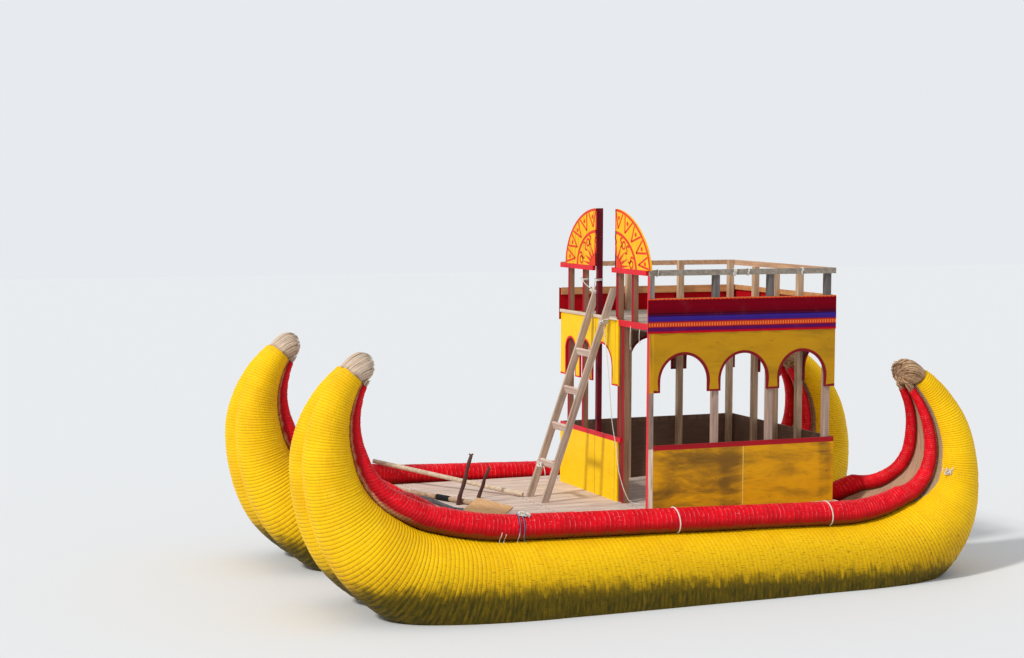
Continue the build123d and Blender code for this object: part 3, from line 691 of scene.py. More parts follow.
def thicken(made, name, thickness):
    """Give a sheet its thickness, half on each side."""
    thick = made.modifiers.new(name, "SOLIDIFY")
    thick.thickness = thickness
    thick.offset = 0.0


def skin(rings, around, flip=False, caps=(True, True), loop=False):
    """Faces between rings of points, and a face across each end that is capped."""
    faces = []
    for ring in range(rings if loop else rings - 1):
        a, b = ring * around, (ring + 1) % rings * around
        for corner in range(around):
            after = (corner + 1) % around
            faces.append((a + corner, a + after, b + after, b + corner))
    if caps[0]:
        faces.append(tuple(reversed(range(around))))
    if caps[1]:
        faces.append(tuple(range((rings - 1) * around, rings * around)))
    return [face[::-1] for face in faces] if flip else faces


def grid(rows, columns, flip=False):
    """Faces of a sheet whose points are laid out row by row."""
    faces = []
    for row in range(rows - 1):
        for a in range(row * columns, row * columns + columns - 1):
            b = a + columns
            faces.append((a, b, b + 1, a + 1) if flip else (a, a + 1, b + 1, b))
    return faces


def piece(name, points, faces, material, slot, nodes=(), smooth=True, numbers=None, uv=None):
    """A mesh piece that rides on the boat and stands for its nodes."""
    mesh = bpy.data.meshes.new(name)
    mesh.from_pydata(points, [], faces)
    mesh.materials.append(finish(material))
    for key, values in (numbers or {}).items():
        mesh.attributes.new(key, "FLOAT", "POINT").data.foreach_set("value", values)
    if uv:
        layer = mesh.uv_layers.new(name="Length and girth")
        layer.data.foreach_set("uv", [part for loop in mesh.loops for part in uv[loop.vertex_index]])
    mesh.polygons.foreach_set("use_smooth", [smooth] * len(mesh.polygons))
    mesh.validate()
    return aboard(linked(name, mesh), nodes)


def cord_piece(name, parts, material="white_rope"):
    """Loops, turns and ends of cord as one piece."""
    piece(name, *joined(parts), material, "white_cord")


def aboard(made, nodes):
    """Let a piece ride on the boat, and hide the nodes that it stands for."""
    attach(made, "root")
    if nodes:
        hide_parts(*nodes)
    return made


def repaint(node, material, bevel=0.003):
    """A better finish for a node whose shape is right, with its corners eased."""
    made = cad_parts[node]
    for slot in made.material_slots:
        slot.link = "OBJECT"
        slot.material = finish(material)
    if bevel:
        ease(made, bevel)


def tube(path, radius, sides, closed=False, taper=None):
    """Points and faces of a round tube along a path of Vectors."""
    points = []
    count = len(path)
    side = None
    for index, here in enumerate(path):
        ahead = path[(index + 1) % count] if closed or index < count - 1 else here
        behind = path[index - 1] if closed or index > 0 else here
        run = (ahead - behind).normalized()
        if side is None:
            side = run.orthogonal().normalized()
        side = (side - run * side.dot(run)).normalized()
        up = run.cross(side)
        size = radius * (taper(index / max(1, count - 1)) if taper else 1.0)
        points += [here + (side * cos(angle) + up * sin(angle)) * size for angle in bearings(sides)]
    return points, skin(count, sides, caps=(not closed, not closed), loop=closed)


def joined(parts):
    """Several lots of points and faces as one."""
    points, faces = [], []
    for more, shapes in parts:
        start = len(points)
        points.extend(more)
        faces.extend(tuple(index + start for index in shape) for shape in shapes)
    return points, faces


def smooth_path(points, steps, closed=False):
    """Even curve through a few points."""
    count = len(points)
    path = []
    for index in range(count if closed else count - 1):
        spots = [index + k for k in (-1, 0, 1, 2)]
        around = [points[k % count if closed else min(max(k, 0), count - 1)] for k in spots]
        path += [blended(around, step / steps) for step in range(steps)]
    return path if closed else path + [points[-1]]


def blended(around, t):
    """A spot between the middle two of four points, on a smooth curve through them."""
    before, first, second, after = around
    return 0.5 * (2 * first + (second - before) * t + (2 * before - 5 * first + 4 * second - after) * t * t
                  + (3 * first - before - 3 * second + after) * t * t * t)


def lashing(centre, half, axis, turns, radius, spread, seed):
    """Cord wound round a timber: a helix on a rounded rectangle, with uneven turns."""
    chance = random.Random(seed)
    others = [k for k in range(3) if k != axis]
    path = []
    steps = 20
    for index in range(int(turns * steps) + 1):
        angle = 2 * pi * index / steps
        place = Vector(centre)
        for other, reach, way in zip(others, half, (cos(angle), sin(angle))):
            place[other] += (reach + radius) * abs(way) ** 0.45 * (1 if way > 0 else -1)
        place[axis] += spread * (index / (turns * steps) - 0.5) + chance.uniform(-0.35, 0.35) * radius
        path.append(place)
    return tube(path, radius, 7)


# Hull surfaces


def eased_rows(rows, turn):
    """Section sizes at a turn, on a smooth curve through the table's rows."""
    turns = [row[0] for row in rows]
    index = min(max(bisect.bisect_right(turns, turn) - 1, 0), len(rows) - 2)
    low, high = rows[index], rows[index + 1]
    span = high[0] - low[0]
    share = (turn - low[0]) / span
    rest = 1 - share

    def slope(at, column):
        before, after = rows[max(at - 1, 0)], rows[min(at + 1, len(rows) - 1)]
        return (after[column] - before[column]) / (after[0] - before[0]) * span if at else 0.0

    sizes = []
    for column in range(1, 5):
        value = low[column] * (1 + 2 * share) * rest**2 + high[column] * share**2 * (3 - 2 * share)
        value += slope(index, column) * share * rest**2 - slope(index + 1, column) * share**2 * rest
        sizes.append(value / 1000 if column < 4 else max(0.0, value))
    return sizes


def spine_spot(turn, start_x, start_z, bends, way):
    """Place of a hull's spine where it has turned by an angle, and the length of its bends until there."""
    x, z, done, length = start_x, start_z, 0.0, 0.0
    for limit, radius in bends:
        here = min(turn, limit)
        if here > done:
            x += way * radius * (sin(radians(here)) - sin(radians(done)))
            z += radius * (cos(radians(done)) - cos(radians(here)))
            length += radius * radians(here - done)
            done = here
    return x, z, length


def hull_line():
    """Closely spaced stations from the stern's tip to the bow's: length, x, z, turn and sizes."""
    last = STERN_SECTIONS[-1][0]
    full = spine_spot(last, 0, 0, STERN_BENDS, -1)[2]
    level = FORE_X - AFT_X
    line = []
    for turn in range(last, -1, -1):
        x, z, length = spine_spot(turn, AFT_X, STERN_SECTIONS[0][1] / 1000, STERN_BENDS, -1)
        line.append((full - length, x, z, -turn, *eased_rows(STERN_SECTIONS, turn)))
    aft, fore = eased_rows(STERN_SECTIONS, 0), eased_rows(BOW_SECTIONS, 0)
    steps = 40
    for index in range(1, steps):
        share = index / steps
        sizes = [a + (b - a) * share for a, b in zip(aft, fore)]
        line.append((full + level * share, AFT_X + level * share, sizes[0], 0.0, *sizes))
    for turn in range(BOW_SECTIONS[-1][0] + 1):
        x, z, length = spine_spot(turn, FORE_X, BOW_SECTIONS[0][1] / 1000, BOW_BENDS, 1)
        line.append((full + level + length, x, z, turn, *eased_rows(BOW_SECTIONS, turn)))
    return line


HULL_LINE = hull_line()
HULL_LENGTHS = [row[0] for row in HULL_LINE]


def station(length):
    """Sizes and place of the hull at a length from the stern's tip."""
    index = min(max(bisect.bisect_right(HULL_LENGTHS, length) - 1, 0), len(HULL_LINE) - 2)
    low, high = HULL_LINE[index], HULL_LINE[index + 1]
    share = (length - low[0]) / (high[0] - low[0])
    return [a + (b - a) * share for a, b in zip(low, high)]


def windings(radius_column, pitch_of, profile):
    """Rings of a wound piece: for each turn of cord, the length, rise and cord share of each ring."""
    chance = random.Random(radius_column)
    rings = []
    length = 0.0
    total = HULL_LENGTHS[-1]
    while length < total:
        pitch = pitch_of(station(length)[radius_column]) * chance.uniform(0.94, 1.06)
        if length + 1.4 * pitch > total:
            pitch = total - length
        swell = chance.uniform(-0.0012, 0.0014)
        for phase, rise, cord in profile:
            rings.append((length + pitch * phase, rise + swell * (1.0 - cord), cord))
        length += pitch + 1e-6
    rings.append((total, profile[0][1], 1.0))
    return rings


def wavy(length, angle, seed):
    """Small wander of a cord's line along the hull."""
    return 0.0050 * drift(length * 2.6, angle * 1.6, seed)


def section_point(row, ship_side, middle, local_x, local_y, slide=0.0):
    """A spot of a section plane: local x to port, local y inside the bend, slide along the hull."""
    x, z, turn = row[1], row[2], radians(row[3])
    return (x - sin(turn) * local_y + cos(turn) * slide, ship_side * HULL_Y + middle + local_x,
            z + cos(turn) * local_y + sin(turn) * slide)


def bundle_piece(word, where, ship_side, place):
    """Reed bundle wound with cord, flat where it lies against its twin."""
    facing = ship_side * place
    rings = windings(4, lambda radius: max(0.024, 0.098 * radius), BUNDLE_TURN)
    arc_steps, flat_steps = 46, 3
    points, groove, bare, uv = [], [], [], []
    seed = 3.0 * ship_side + place
    for length, rise, cord in rings:
        row = station(length)
        risen = abs(row[3])
        radius, offset, _, lean = row[4:8]
        flat = offset - TWIN_GAP
        open_angle = acos(-flat / radius)
        roll_angle = pi / 2 - (radians(lean) if place < 0 else 0.0)
        past_roll = (0.42 if row[3] < 0 else 0.02) * unit((risen - 25) / 45)
        depth = 0.5 + 0.5 * min(1.0, risen / 25)
        for step in range(arc_steps + 1):
            angle = -open_angle + 2 * open_angle * step / arc_steps
            edge = min(1.0, 5.0 * min(step, arc_steps - step) / arc_steps)
            wave = drift(length * 1.7, angle * 0.9, seed) * 0.006
            wave += drift(length * 22.0, angle * 9.0, seed) * 0.0022
            size = radius + (rise * depth + wave) * edge
            local = (facing * size * cos(angle), size * sin(angle), wavy(length, angle, seed) * edge)
            points.append(section_point(row, ship_side, facing * offset, *local))
            groove.append(cord * (depth if angle > 0 else 1.0))
            bare.append(unit(0.5 + (angle - roll_angle + past_roll) / 0.3))
            uv.append((length, angle * radius))
        half = sqrt(max(1e-6, radius**2 - flat**2))
        for step in range(1, flat_steps):
            spot = half - 2 * half * step / flat_steps
            points.append(section_point(row, ship_side, facing * offset, -facing * flat, spot))
            groove.append(0.0)
            bare.append(1.0)
            uv.append((length, spot))
    faces = skin(len(rings), arc_steps + flat_steps, facing > 0)
    piece(f"{word}_{where}_wound_bundle", points, faces, "bundle_yellow", "painted_reed_yellow",
          (f"{word}_{where}_bundle",), True, {"groove": groove, "bare": bare}, uv)


def roll_centre(row, ship_side, place):
    """Middle of a roll in its section: the bundle's offset, and from there to port and inwards."""
    facing = ship_side * place
    radius, offset, roll_r, lean = row[4:8]
    lean = 0.0 if place > 0 else lean
    reach = radius + roll_r + SEAT + 0.0137 * min(1.0, lean / 12)
    return facing * offset, facing * reach * sin(radians(lean)), reach * cos(radians(lean))


def on_roll(row, ship_side, place, angle, rise, slide=0.0):
    """A spot on a roll, or a little above it, at an angle round it."""
    middle, x, y = roll_centre(row, ship_side, place)
    size = row[6] + rise
    return section_point(row, ship_side, middle, x + size * cos(angle), y + size * sin(angle), slide)


def level_row(x):
    """The hull's station nearest to a place along the boat, leaving out its high ends."""
    return min((row for row in HULL_LINE if abs(row[3]) <= 40), key=lambda row: abs(row[1] - x))


def roll_piece(word, where, ship_side, place):
    """Gunwale roll wound with cord."""
    rings = windings(6, lambda radius: max(0.028, 0.42 * radius), ROLL_TURN)
    sides = 22
    points, cords, under, uv = [], [], [], []
    seed = 9.0 + 3.0 * ship_side + place
    for length, rise, cord in rings:
        row = station(length)
        for angle in bearings(sides):
            lift = rise + drift(length * 16.0, angle * 1.5, seed) * 0.0022
            points.append(on_roll(row, ship_side, place, angle, lift, 0.8 * wavy(length, angle, seed)))
            cords.append(cord)
            under.append(unit(0.5 - sin(angle) * 0.75))
            uv.append((length, angle * row[6]))
    faces = skin(len(rings), sides, True)
    piece(f"{word}_{where}_wound_roll", points, faces, "roll_red", "painted_reed_red",
          (f"{word}_{where}_roll",), True, {"cord": cords, "under": under}, uv)


def bed_piece(word, end, ship_side):
    """Bare reeds that fill the hollow between a hull's two rolls where its end rises."""
    rows = [row for row in HULL_LINE if ENDS[end][0] * row[3] >= 4]
    across = 12
    points, place, uv = [], [], []
    for row in rows:
        (start, high), (stop, low) = [
            (middle + x, y) for middle, x, y in (roll_centre(row, ship_side, side) for side in (1, -1))]
        for step in range(across + 1):
            share = step / across
            level = high + (low - high) * share - 0.62 * row[6] - 0.50 * row[4] * share * (1 - share)
            points.append(section_point(row, ship_side, 0.0, start + (stop - start) * share, level))
            place.append(share)
            uv.append((row[0], share * abs(stop - start)))
    faces = grid(len(rows), across + 1, True)
    made = piece(
        f"{word}_{end}_reed_bed", points, faces, "reed_bed", "bare_reed", numbers={"across": place}, uv=uv)
    thicken(made, "Thickness", 0.012)


def tuft_piece(word, end, ship_side, row, seed):
    """Cut reeds that stand out of a hull's tip and droop inboard, round a darker core."""
    chance = random.Random(seed)
    px, pz, turn = row[1:4]
    radius, offset = row[4:6]
    way, look = ENDS[end]
    levels = 8
    spine = []
    for index in range(levels + 1):
        share = index / levels
        bearing = radians(turn + way * TUFT_DROOP * share)
        if index:
            px += way * TUFT_LENGTH / levels * cos(bearing)
            pz += way * TUFT_LENGTH / levels * sin(bearing)
        swelling = 1.0 + 0.16 * sin(pi * min(1.0, share / 0.9) * 0.62)
        if share > 0.6:
            swelling -= 0.34 * ((share - 0.6) / 0.4) ** 2
        spine.append((px, pz, bearing, swelling))

    def ring_spot(level, across, inward):
        spot_x, spot_z, bearing, swelling = spine[level]
        wide = across * (offset + radius) * 0.86 * swelling
        tall = inward * radius * swelling
        return Vector((spot_x - sin(bearing) * tall, ship_side * HULL_Y + wide, spot_z + cos(bearing) * tall))

    sides = 24
    points = [ring_spot(level, 0.88 * cos(angle), 0.88 * sin(angle))
              for level in range(levels) for angle in bearings(sides)]
    parts = [(points, skin(levels, sides, caps=(False, True)))]
    each = [1.0] * len(points)
    core = [1.0] * len(points)
    for _ in range(520):
        angle = chance.uniform(0, 2 * pi)
        reach = 0.97 if chance.random() < 0.6 else sqrt(chance.random()) * 0.94
        a, b = reach * cos(angle), reach * sin(angle)
        top = chance.choice((6, 7, 7, 8))
        loose = 0.22 if end == "stern" and chance.random() < 0.2 else 0.09
        lean_a, lean_b = chance.uniform(-loose, loose), chance.uniform(-loose, loose)
        path = [ring_spot(level, a + lean_a * level / levels, b + lean_b * level / levels)
                for level in range(top + 1)]
        parts.append(tube(path, chance.uniform(0.0030, 0.0048), 4))
        count = len(parts[-1][0])
        each += [chance.random()] * count
        core += [0.0] * count
    points, faces = joined(parts)
    low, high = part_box(f"{word}_{end}_tuft")
    points = [[min(max(p[k], low[k] - 0.008), high[k] + 0.008) for k in range(3)] for p in points]
    piece(f"{word}_{end}_reed_ends", points, faces, look, "bare_reed", (f"{word}_{end}_tuft",), True,
          {"each": each, "core": core})


def stub_piece(word, end, ship_side, row, seed):
    """Reeds that leave the tips of a hull's two rolls and run up to its tuft."""
    chance = random.Random(seed)
    parts, each = [], []
    way, look = ENDS[end]
    for side in (1, -1):
        middle, x, y = roll_centre(row, ship_side, side)
        for _ in range(40):
            angle, size = chance.uniform(0, 2 * pi), row[6] * 0.85 * sqrt(chance.random())
            across, inward = x + size * cos(angle), y + size * sin(angle)
            reach = chance.uniform(0.045, 0.085)
            path = []
            for share in (-0.2, 0.3, 0.7, 1.0):
                aside, inside = across * (1 - 0.3 * share), inward - 0.02 * share + 0.012 * share**2
                path.append(Vector(section_point(row, ship_side, middle, aside, inside, way * reach * share)))
            parts.append(tube(path, chance.uniform(0.0030, 0.0045), 4))
            each += [chance.random()] * len(parts[-1][0])
    piece(f"{word}_{end}_roll_reeds", *joined(parts), look, "bare_reed", (), True,
          {"each": each, "core": [0.0] * len(each)})


# Timber extras


def arch_bays(fore, aft, pier):
    """Middle, half width and spring of a side wall's three arches, between two margins and two piers."""
    half = (2 * FRONT - fore - aft - 2 * pier) / 6
    first = FRONT - fore - half
    step = 2 * half + pier
    return [(first - index * step, half, SPRING) for index in range(3)]


def lower_profile(arches, low, high):
    """Line along a valance's lower edge, with the direction into the board at each point."""
    line = [((low, VALANCE_LOW), (0.0, 1.0))]
    steps = 24
    for middle, half, spring in sorted(arches):
        line.append(((middle - half, VALANCE_LOW), (-0.7, 0.7)))
        for step in range(steps + 1):
            angle = pi - pi * step / steps
            c, s = cos(angle), sin(angle)
            line.append(((middle + half * c, spring + half * s), (c, s)))
        line.append(((middle + half, VALANCE_LOW), (0.7, 0.7)))
    line.append(((high, VALANCE_LOW), (0.0, 1.0)))
    return line


def arch_edging(word, arches, low, high, axis, sign, material="arch_red", width=0.026):
    """Painted band round the arches: on both faces of a wall's valance and across its edge."""
    middle = (FRONT, SIDE)[axis] - BOARD / 2
    proud = BOARD / 2 + 0.0013
    line = lower_profile(arches, low, high)
    points = []
    for (a, z), (n_a, n_z) in line:
        for reach, out in ((width, proud), (-0.0012, proud), (-0.0012, -proud), (width, -proud)):
            spot = [a + n_a * reach, a + n_a * reach, z + n_z * reach]
            spot[axis] = sign * (middle + out)
            points.append(cabin_spot(*spot))
    piece(f"{word}_arch_edging", points, grid(len(line), 4), material, "red_wood", smooth=False)


def cabin_spot(x, y, z):
    """A place given from the cabin's middle on the deck."""
    return (x + CABIN_X, y, z + DECK_Z)


def ladder_spot(height):
    """A spot on the ladder's leaning middle line, at a height above the deck."""
    low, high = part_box("ladder_rails")
    share = (DECK_Z + height - low[2]) / (high[2] - low[2])
    foot_x = high[0] - RAIL_HALF
    return Vector((foot_x + (low[0] + RAIL_HALF - foot_x) * share, 0.0, DECK_Z + height))


def nail_heads(name, places, axis, radius=0.006):
    """Low domed nail heads on a face that looks along an axis."""
    others = [k for k in range(3) if k != axis]
    sides = 8
    domes = ((1.0, 0.0), (0.8, 0.45), (0.35, 0.7))
    parts = []
    for centre in places:
        points = []
        for size, rise in domes:
            for angle in bearings(sides):
                spot = Vector(centre)
                spot[others[0]] += radius * size * cos(angle)
                spot[others[1]] += radius * size * sin(angle)
                spot[axis] += radius * rise
                points.append(spot)
        parts.append((points, skin(len(domes), sides, caps=(False, True))))
    piece(name, *joined(parts), "nails", "dark_wood")


# Properties


class ReedBoatSettings(bpy.types.PropertyGroup):
    """Sizes and colours that a user may change."""

    yellow: bpy.props.FloatVectorProperty(
        name="Yellow", description="Paint of the reed bundles", subtype="COLOR", size=3, min=0, max=1,
        default=shade(255, 203, 2))
    red: bpy.props.FloatVectorProperty(
        name="Red", description="Paint of the gunwale rolls", subtype="COLOR", size=3, min=0, max=1,
        default=shade(238, 6, 30))
    sun_line: bpy.props.FloatProperty(
        name="Sun board line", description="Width of the painted lines on the sun boards", unit="LENGTH",
        default=0.018, min=0.005, max=0.05)
    cloth_ripple: bpy.props.FloatProperty(
        name="Cloth ripple", description="Depth of the folds in the cloth bands", unit="LENGTH",
        default=0.004, min=0.0, max=0.01)
    floor_height: bpy.props.FloatProperty(
        name="Floor height", description="Height of the floor, which is where the boat floats",
        unit="LENGTH", default=WATER_Z)


class BundlesOperator(bpy.types.Operator):
    """Build the four wound reed bundles"""

    bl_idname = "reed_boat.bundles"
    bl_label = "Wound Bundles"

    def execute(self, context):
        for bundle in REED_BUNDLES:
            bundle_piece(*bundle)
        return {"FINISHED"}


class RollsOperator(bpy.types.Operator):
    """Build the four wound gunwale rolls"""

    bl_idname = "reed_boat.rolls"
    bl_label = "Gunwale Rolls"

    def execute(self, context):
        for bundle in REED_BUNDLES:
            roll_piece(*bundle)
        return {"FINISHED"}


class TuftsOperator(bpy.types.Operator):
    """Build the cut reed ends at the tips of the hulls"""

    bl_idname = "reed_boat.tufts"
    bl_label = "Reed Ends"

    def execute(self, context):
        for word, ship_side in HULLS:
            for end, row, seed in (("stern", HULL_LINE[0], 3), ("bow", HULL_LINE[-1], 8)):
                tuft_piece(word, end, ship_side, row, seed + ship_side)
                stub_piece(word, end, ship_side, row, seed)
                bed_piece(word, end, ship_side)
        return {"FINISHED"}


class DeckOperator(bpy.types.Operator):
    """Finish the deck planks and beams and nail them down"""

    bl_idname = "reed_boat.deck"
    bl_label = "Deck"

    def execute(self, context):
        repaint("deck_planks", "deck_planks")
        repaint("deck_beams", "deck_beams")
        places = []
        for x in DECK_BEAMS:
            for index in range(PLANK_COUNT):
                middle = PLANK_EDGE + index * PLANK_PITCH + PLANK_HALF
                places += [cabin_spot(x, middle + side, 0.0) for side in (-0.055, 0.055)]
        nail_heads("deck_nails", places, 2)
        return {"FINISHED"}


class WallsOperator(bpy.types.Operator):
    """Finish the cabin's panels, rails and valances and paint the edges of the arches"""

    bl_idname = "reed_boat.walls"
    bl_label = "Cabin Walls"

    def execute(self, context):
        # Columns: wall, node of its panels, finishes of the panels, valance and mid rail
        for word, panels, ply, valance, rail in (
                ("port", "port_panels", "port_ply", "port_valance", "red_paint"),
                ("starboard", "starboard_panels", "starboard_ply", "starboard_ply", "inner_rail"),
                ("front", "front_panel", "front_ply", "front_ply", "bright_red"),
                ("rear", "rear_panel", "rear_ply", "rear_ply", "rear_rail")):
            repaint(panels, ply, 0.002)
            repaint(f"{word}_valance", valance, 0.002)
            repaint(f"{word}_mid_rail", rail)
        arch_edging("port", arch_bays(0.118, 0.118, 0.142), -FRONT, 0.9747, 1, 1)
        arch_edging("starboard", arch_bays(0.130, 0.076, 0.182), -FRONT, 1.0097, 1, -1)
        arch_edging("front", FRONT_ARCHES, -SIDE, 0.36, 0, 1, "bright_red", 0.020)
        arch_edging("rear", REAR_ARCHES, -1.0347, 1.0347, 0, -1)
        levels = (0.08, 0.30, 0.52, 1.62, 1.74)
        places = [cabin_spot(x, SIDE, level) for x in (-0.95, -0.305, 0.296) for level in levels]
        nail_heads("wall_nails", places, 1, 0.005)
        return {"FINISHED"}


class PostsOperator(bpy.types.Operator):
    """Finish the cabin's posts"""

    bl_idname = "reed_boat.posts"
    bl_label = "Posts"

    def execute(self, context):
        repaint("corner_post", "corner_post")
        repaint("gate_post", "maroon")
        repaint("port_wall_posts", "port_posts")
        for node in ("front_wall_posts", "door_posts", "upper_posts"):
            repaint(node, "front_posts")
        for node in ("rear_wall_posts", "starboard_wall_posts"):
            repaint(node, "pale_post")
        return {"FINISHED"}


class RoofOperator(bpy.types.Operator):
    """Finish the roof's beams, planks, edge board and fascia"""

    bl_idname = "reed_boat.roof"
    bl_label = "Roof"

    def execute(self, context):
        repaint("roof_beams", "brown_wood")
        repaint("roof_planks", "roof_wood")
        repaint("roof_edge_board", "edge_board")
        repaint("roof_fascia", "bright_red")
        return {"FINISHED"}


class RailingsOperator(bpy.types.Operator):
    """Finish the bars and top rails round the roof"""

    bl_idname = "reed_boat.railings"
    bl_label = "Railings"

    def execute(self, context):
        repaint("lower_bars", "tan_bar")
        repaint("top_rails", "rails")
        return {"FINISHED"}


class ClothOperator(bpy.types.Operator):
    """Hang the three striped cloth bands"""

    bl_idname = "reed_boat.cloth"
    bl_label = "Cloth Bands"

    def execute(self, context):
        ripple = context.scene.reed_boat.cloth_ripple
        for word, axis, sign in (("port", 1, 1), ("starboard", 1, -1), ("rear", 0, -1)):
            self.band(word, axis, sign, ripple)
        return {"FINISHED"}

    def band(self, word, axis, sign, ripple):
        """One band: two layers of cloth, joined at their edges, that fold more towards the bottom."""
        node = f"{word}_cloth_band"
        low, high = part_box(node)
        along = 1 - axis
        start, end = low[along], high[along]
        plane = low[axis] if sign > 0 else high[axis]
        tall = high[2] - low[2]
        across, down = int((end - start) / 0.012), 22
        points, back, uv = [], [], []
        for layer, reverse in ((0.0058, 0.0), (0.0038, 1.0)):
            for column in range(across + 1):
                a = start + (end - start) * column / across
                for row in range(down + 1):
                    share = row / down
                    spot = [a, a, high[2] - tall * share]
                    fold = 0.6 * sin(a * 21.0 + 1.3 * sin(a * 5.0)) + 0.5 * drift(a * 6.0, share * 3.0, 4.2)
                    spot[axis] = plane + sign * (layer + ripple * (0.15 + 0.85 * share) * fold)
                    if row == 0:
                        spot[2] -= 0.006 * abs(sin(pi * (a - start) / SCALLOP))
                    if row == down:
                        spot[2] += 0.004 * drift(a * 9.0, 2.0, 0.0)
                    points.append(spot)
                    back.append(reverse)
                    uv.append((a - start, tall * share))
        rows = down + 1
        lot = (across + 1) * rows
        turned = (sign > 0) != (axis == 1)
        faces = grid(across + 1, rows, turned)
        faces += [tuple(index + lot for index in face) for face in grid(across + 1, rows, not turned)]
        edges = [(column * rows + row, rows) for column in range(across) for row in (0, down)]
        edges += [(column * rows + row, 1) for row in range(down) for column in (0, across)]
        faces += [(a, a + step, lot + a + step, lot + a) for a, step in edges]
        made = piece(
            f"{word}_cloth", points, faces, "cloth", "striped_cloth", (node,), True, {"back": back}, uv)


class SunBoardsOperator(bpy.types.Operator):
    """Finish the sun boards and their base timbers, and paint their rays"""

    bl_idname = "reed_boat.sun_boards"
    bl_label = "Sun Boards"

    def execute(self, context):
        repaint("sun_bases", "bright_red")
        line = context.scene.reed_boat.sun_line
        for word, *outline in (("port", 0.310, 1.095, 1.75), ("starboard", -0.135, -0.900, 1.95)):
            repaint(f"{word}_sun_board", f"{word}_sun_board", 0.0015)
            self.rays(word, *outline, line)
        return {"FINISHED"}

    def rays(self, word, inner, outer, roundness, line):
        """Painted lines of one board, as thin patches just in front of its face."""
        width, height = abs(outer - inner), SUN_HEIGHT
        way = 1 if outer > inner else -1
        power = 2 / roundness
        thin = line * 1.1
        parts = []

        def rim(angle, scale):
            angle = min(max(angle, 0.0), pi / 2)
            return (width * scale * sin(angle) ** power, height * scale * cos(angle) ** power)

        def patch(outline):
            spots = [cabin_spot(SUN_FACE, inner + way * across, SUN_FOOT + up) for across, up in outline]
            parts.append((spots, [tuple(range(len(outline)))]))

        def stroke(first, second):
            a, b = Vector(first), Vector(second)
            span = b - a
            side = Vector((-span.y, span.x)).normalized() * thin / 2
            patch([a + side, a - side, b - side, b + side])

        def band(low, high, steps=28):
            edges = [pi / 2 * step / steps for step in range(steps + 1)]
            for one, two in zip(edges, edges[1:]):
                patch([rim(one, low), rim(two, low), rim(two, high), rim(one, high)])

        def circle(centre, radius, count):
            across, up = centre
            return [(across + radius * cos(angle), up + radius * sin(angle)) for angle in bearings(count)]

        band(0.958, 0.999)
        band(0.575, 0.625)
        patch([(0.0, 0.0), (thin, 0.0), (thin, height * 0.99), (0.0, height * 0.99)])
        band(0.0, 0.20, 14)
        share = pi / 2 / 5
        for index in range(5):
            one, two = share * index, share * (index + 1)
            patch([rim(one, 0.195), rim((one + two) / 2, 0.42), rim(two, 0.195)])
        for index in range(5):
            middle = share * (index + 0.5)
            for edge in (share * (index + 0.12), share * (index + 0.88)):
                stroke(rim(edge, 0.95), rim(middle, 0.68))
            patch(circle(rim(middle, 0.86), 0.021, 12))
        for index in range(4):
            middle = pi / 2 * (index + 0.5) / 4
            if index % 2:
                ring = circle(rim(middle, 0.48), 0.036, 14)
                for first, second in zip(ring, ring[1:] + ring[:1]):
                    stroke(first, second)
            wave = [rim(middle - 0.16 + 0.09 * sin(step * pi / 3), 0.40 + 0.028 * step) for step in range(7)]
            for first, second in zip(wave, wave[1:]):
                stroke(first, second)
        made = piece(f"{word}_sun_rays", *joined(parts), "sun_red", "sun_board_paint", smooth=False)
        thicken(made, "Paint thickness", 0.0008)


class LadderOperator(bpy.types.Operator):
    """Finish the ladder"""

    bl_idname = "reed_boat.ladder"
    bl_label = "Ladder"

    def execute(self, context):
        repaint("ladder_rails", "ladder_rail", 0.004)
        low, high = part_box("ladder_rungs")
        parts = []
        for index, height in enumerate(RUNG_HEIGHTS):
            middle = ladder_spot(height)
            chance = random.Random(index)
            tilt = LADDER_LEAN + chance.uniform(-0.05, 0.05)
            face = Vector((sin(tilt), 0, cos(tilt)))
            deep = Vector((cos(tilt), 0, -sin(tilt)))
            corners = []
            for y in (low[1], high[1]):
                for a, b in ((-1, -1), (1, -1), (1, 1), (-1, 1)):
                    spot = middle + face * -0.036 * a + deep * 0.015 * b
                    corners.append((spot.x, y, spot.z + chance.uniform(-0.003, 0.003)))
            parts.append((corners, skin(2, 4, True)))
        made = piece("ladder_battens", *joined(parts), "ladder_rung", "bare_wood", ("ladder_rungs",), False)
        ease(made, 0.004)
        return {"FINISHED"}


class GearOperator(bpy.types.Operator):
    """Build the forked pins and finish the pole, the oars and the loose board"""

    bl_idname = "reed_boat.gear"
    bl_label = "Loose Gear"

    def execute(self, context):
        for node, look, bevel in (
                ("loose_board", "bare_ply", 0.001), ("light_oar", "oar_wood", 0.003),
                ("dark_oar", "grey_blade", 0.003), ("light_oar_wrap", "rubber", 0.002),
                ("pole", "pole_wood", 0)):
            repaint(node, look, bevel)
        parts = []
        for seed, (foot, top, radius, prongs) in enumerate(FORKED_PINS):
            foot, top = Vector(cabin_spot(*foot)), Vector(cabin_spot(*top))
            bent = [foot.lerp(top, k / 5) + 0.005 * Vector((sin(k * 2.1 + seed), cos(k * 1.7), 0))
                    for k in range(6)]
            stem = smooth_path(bent, 5)
            parts.append(tube(stem, radius, 12, taper=lambda t: 1.1 - 0.25 * t + 0.07 * sin(t * 17.0)))
            for reach, aside in prongs:
                fork = [top - Vector((0, 0, 0.03)), top, top + Vector((reach, aside, 0.012))]
                parts.append(tube(fork, radius * 0.62, 8, taper=lambda t: 1.0 - 0.35 * t))
        piece("forked_pins", *joined(parts), "pin_wood", "dark_wood", ("thole_pins",))
        return {"FINISHED"}


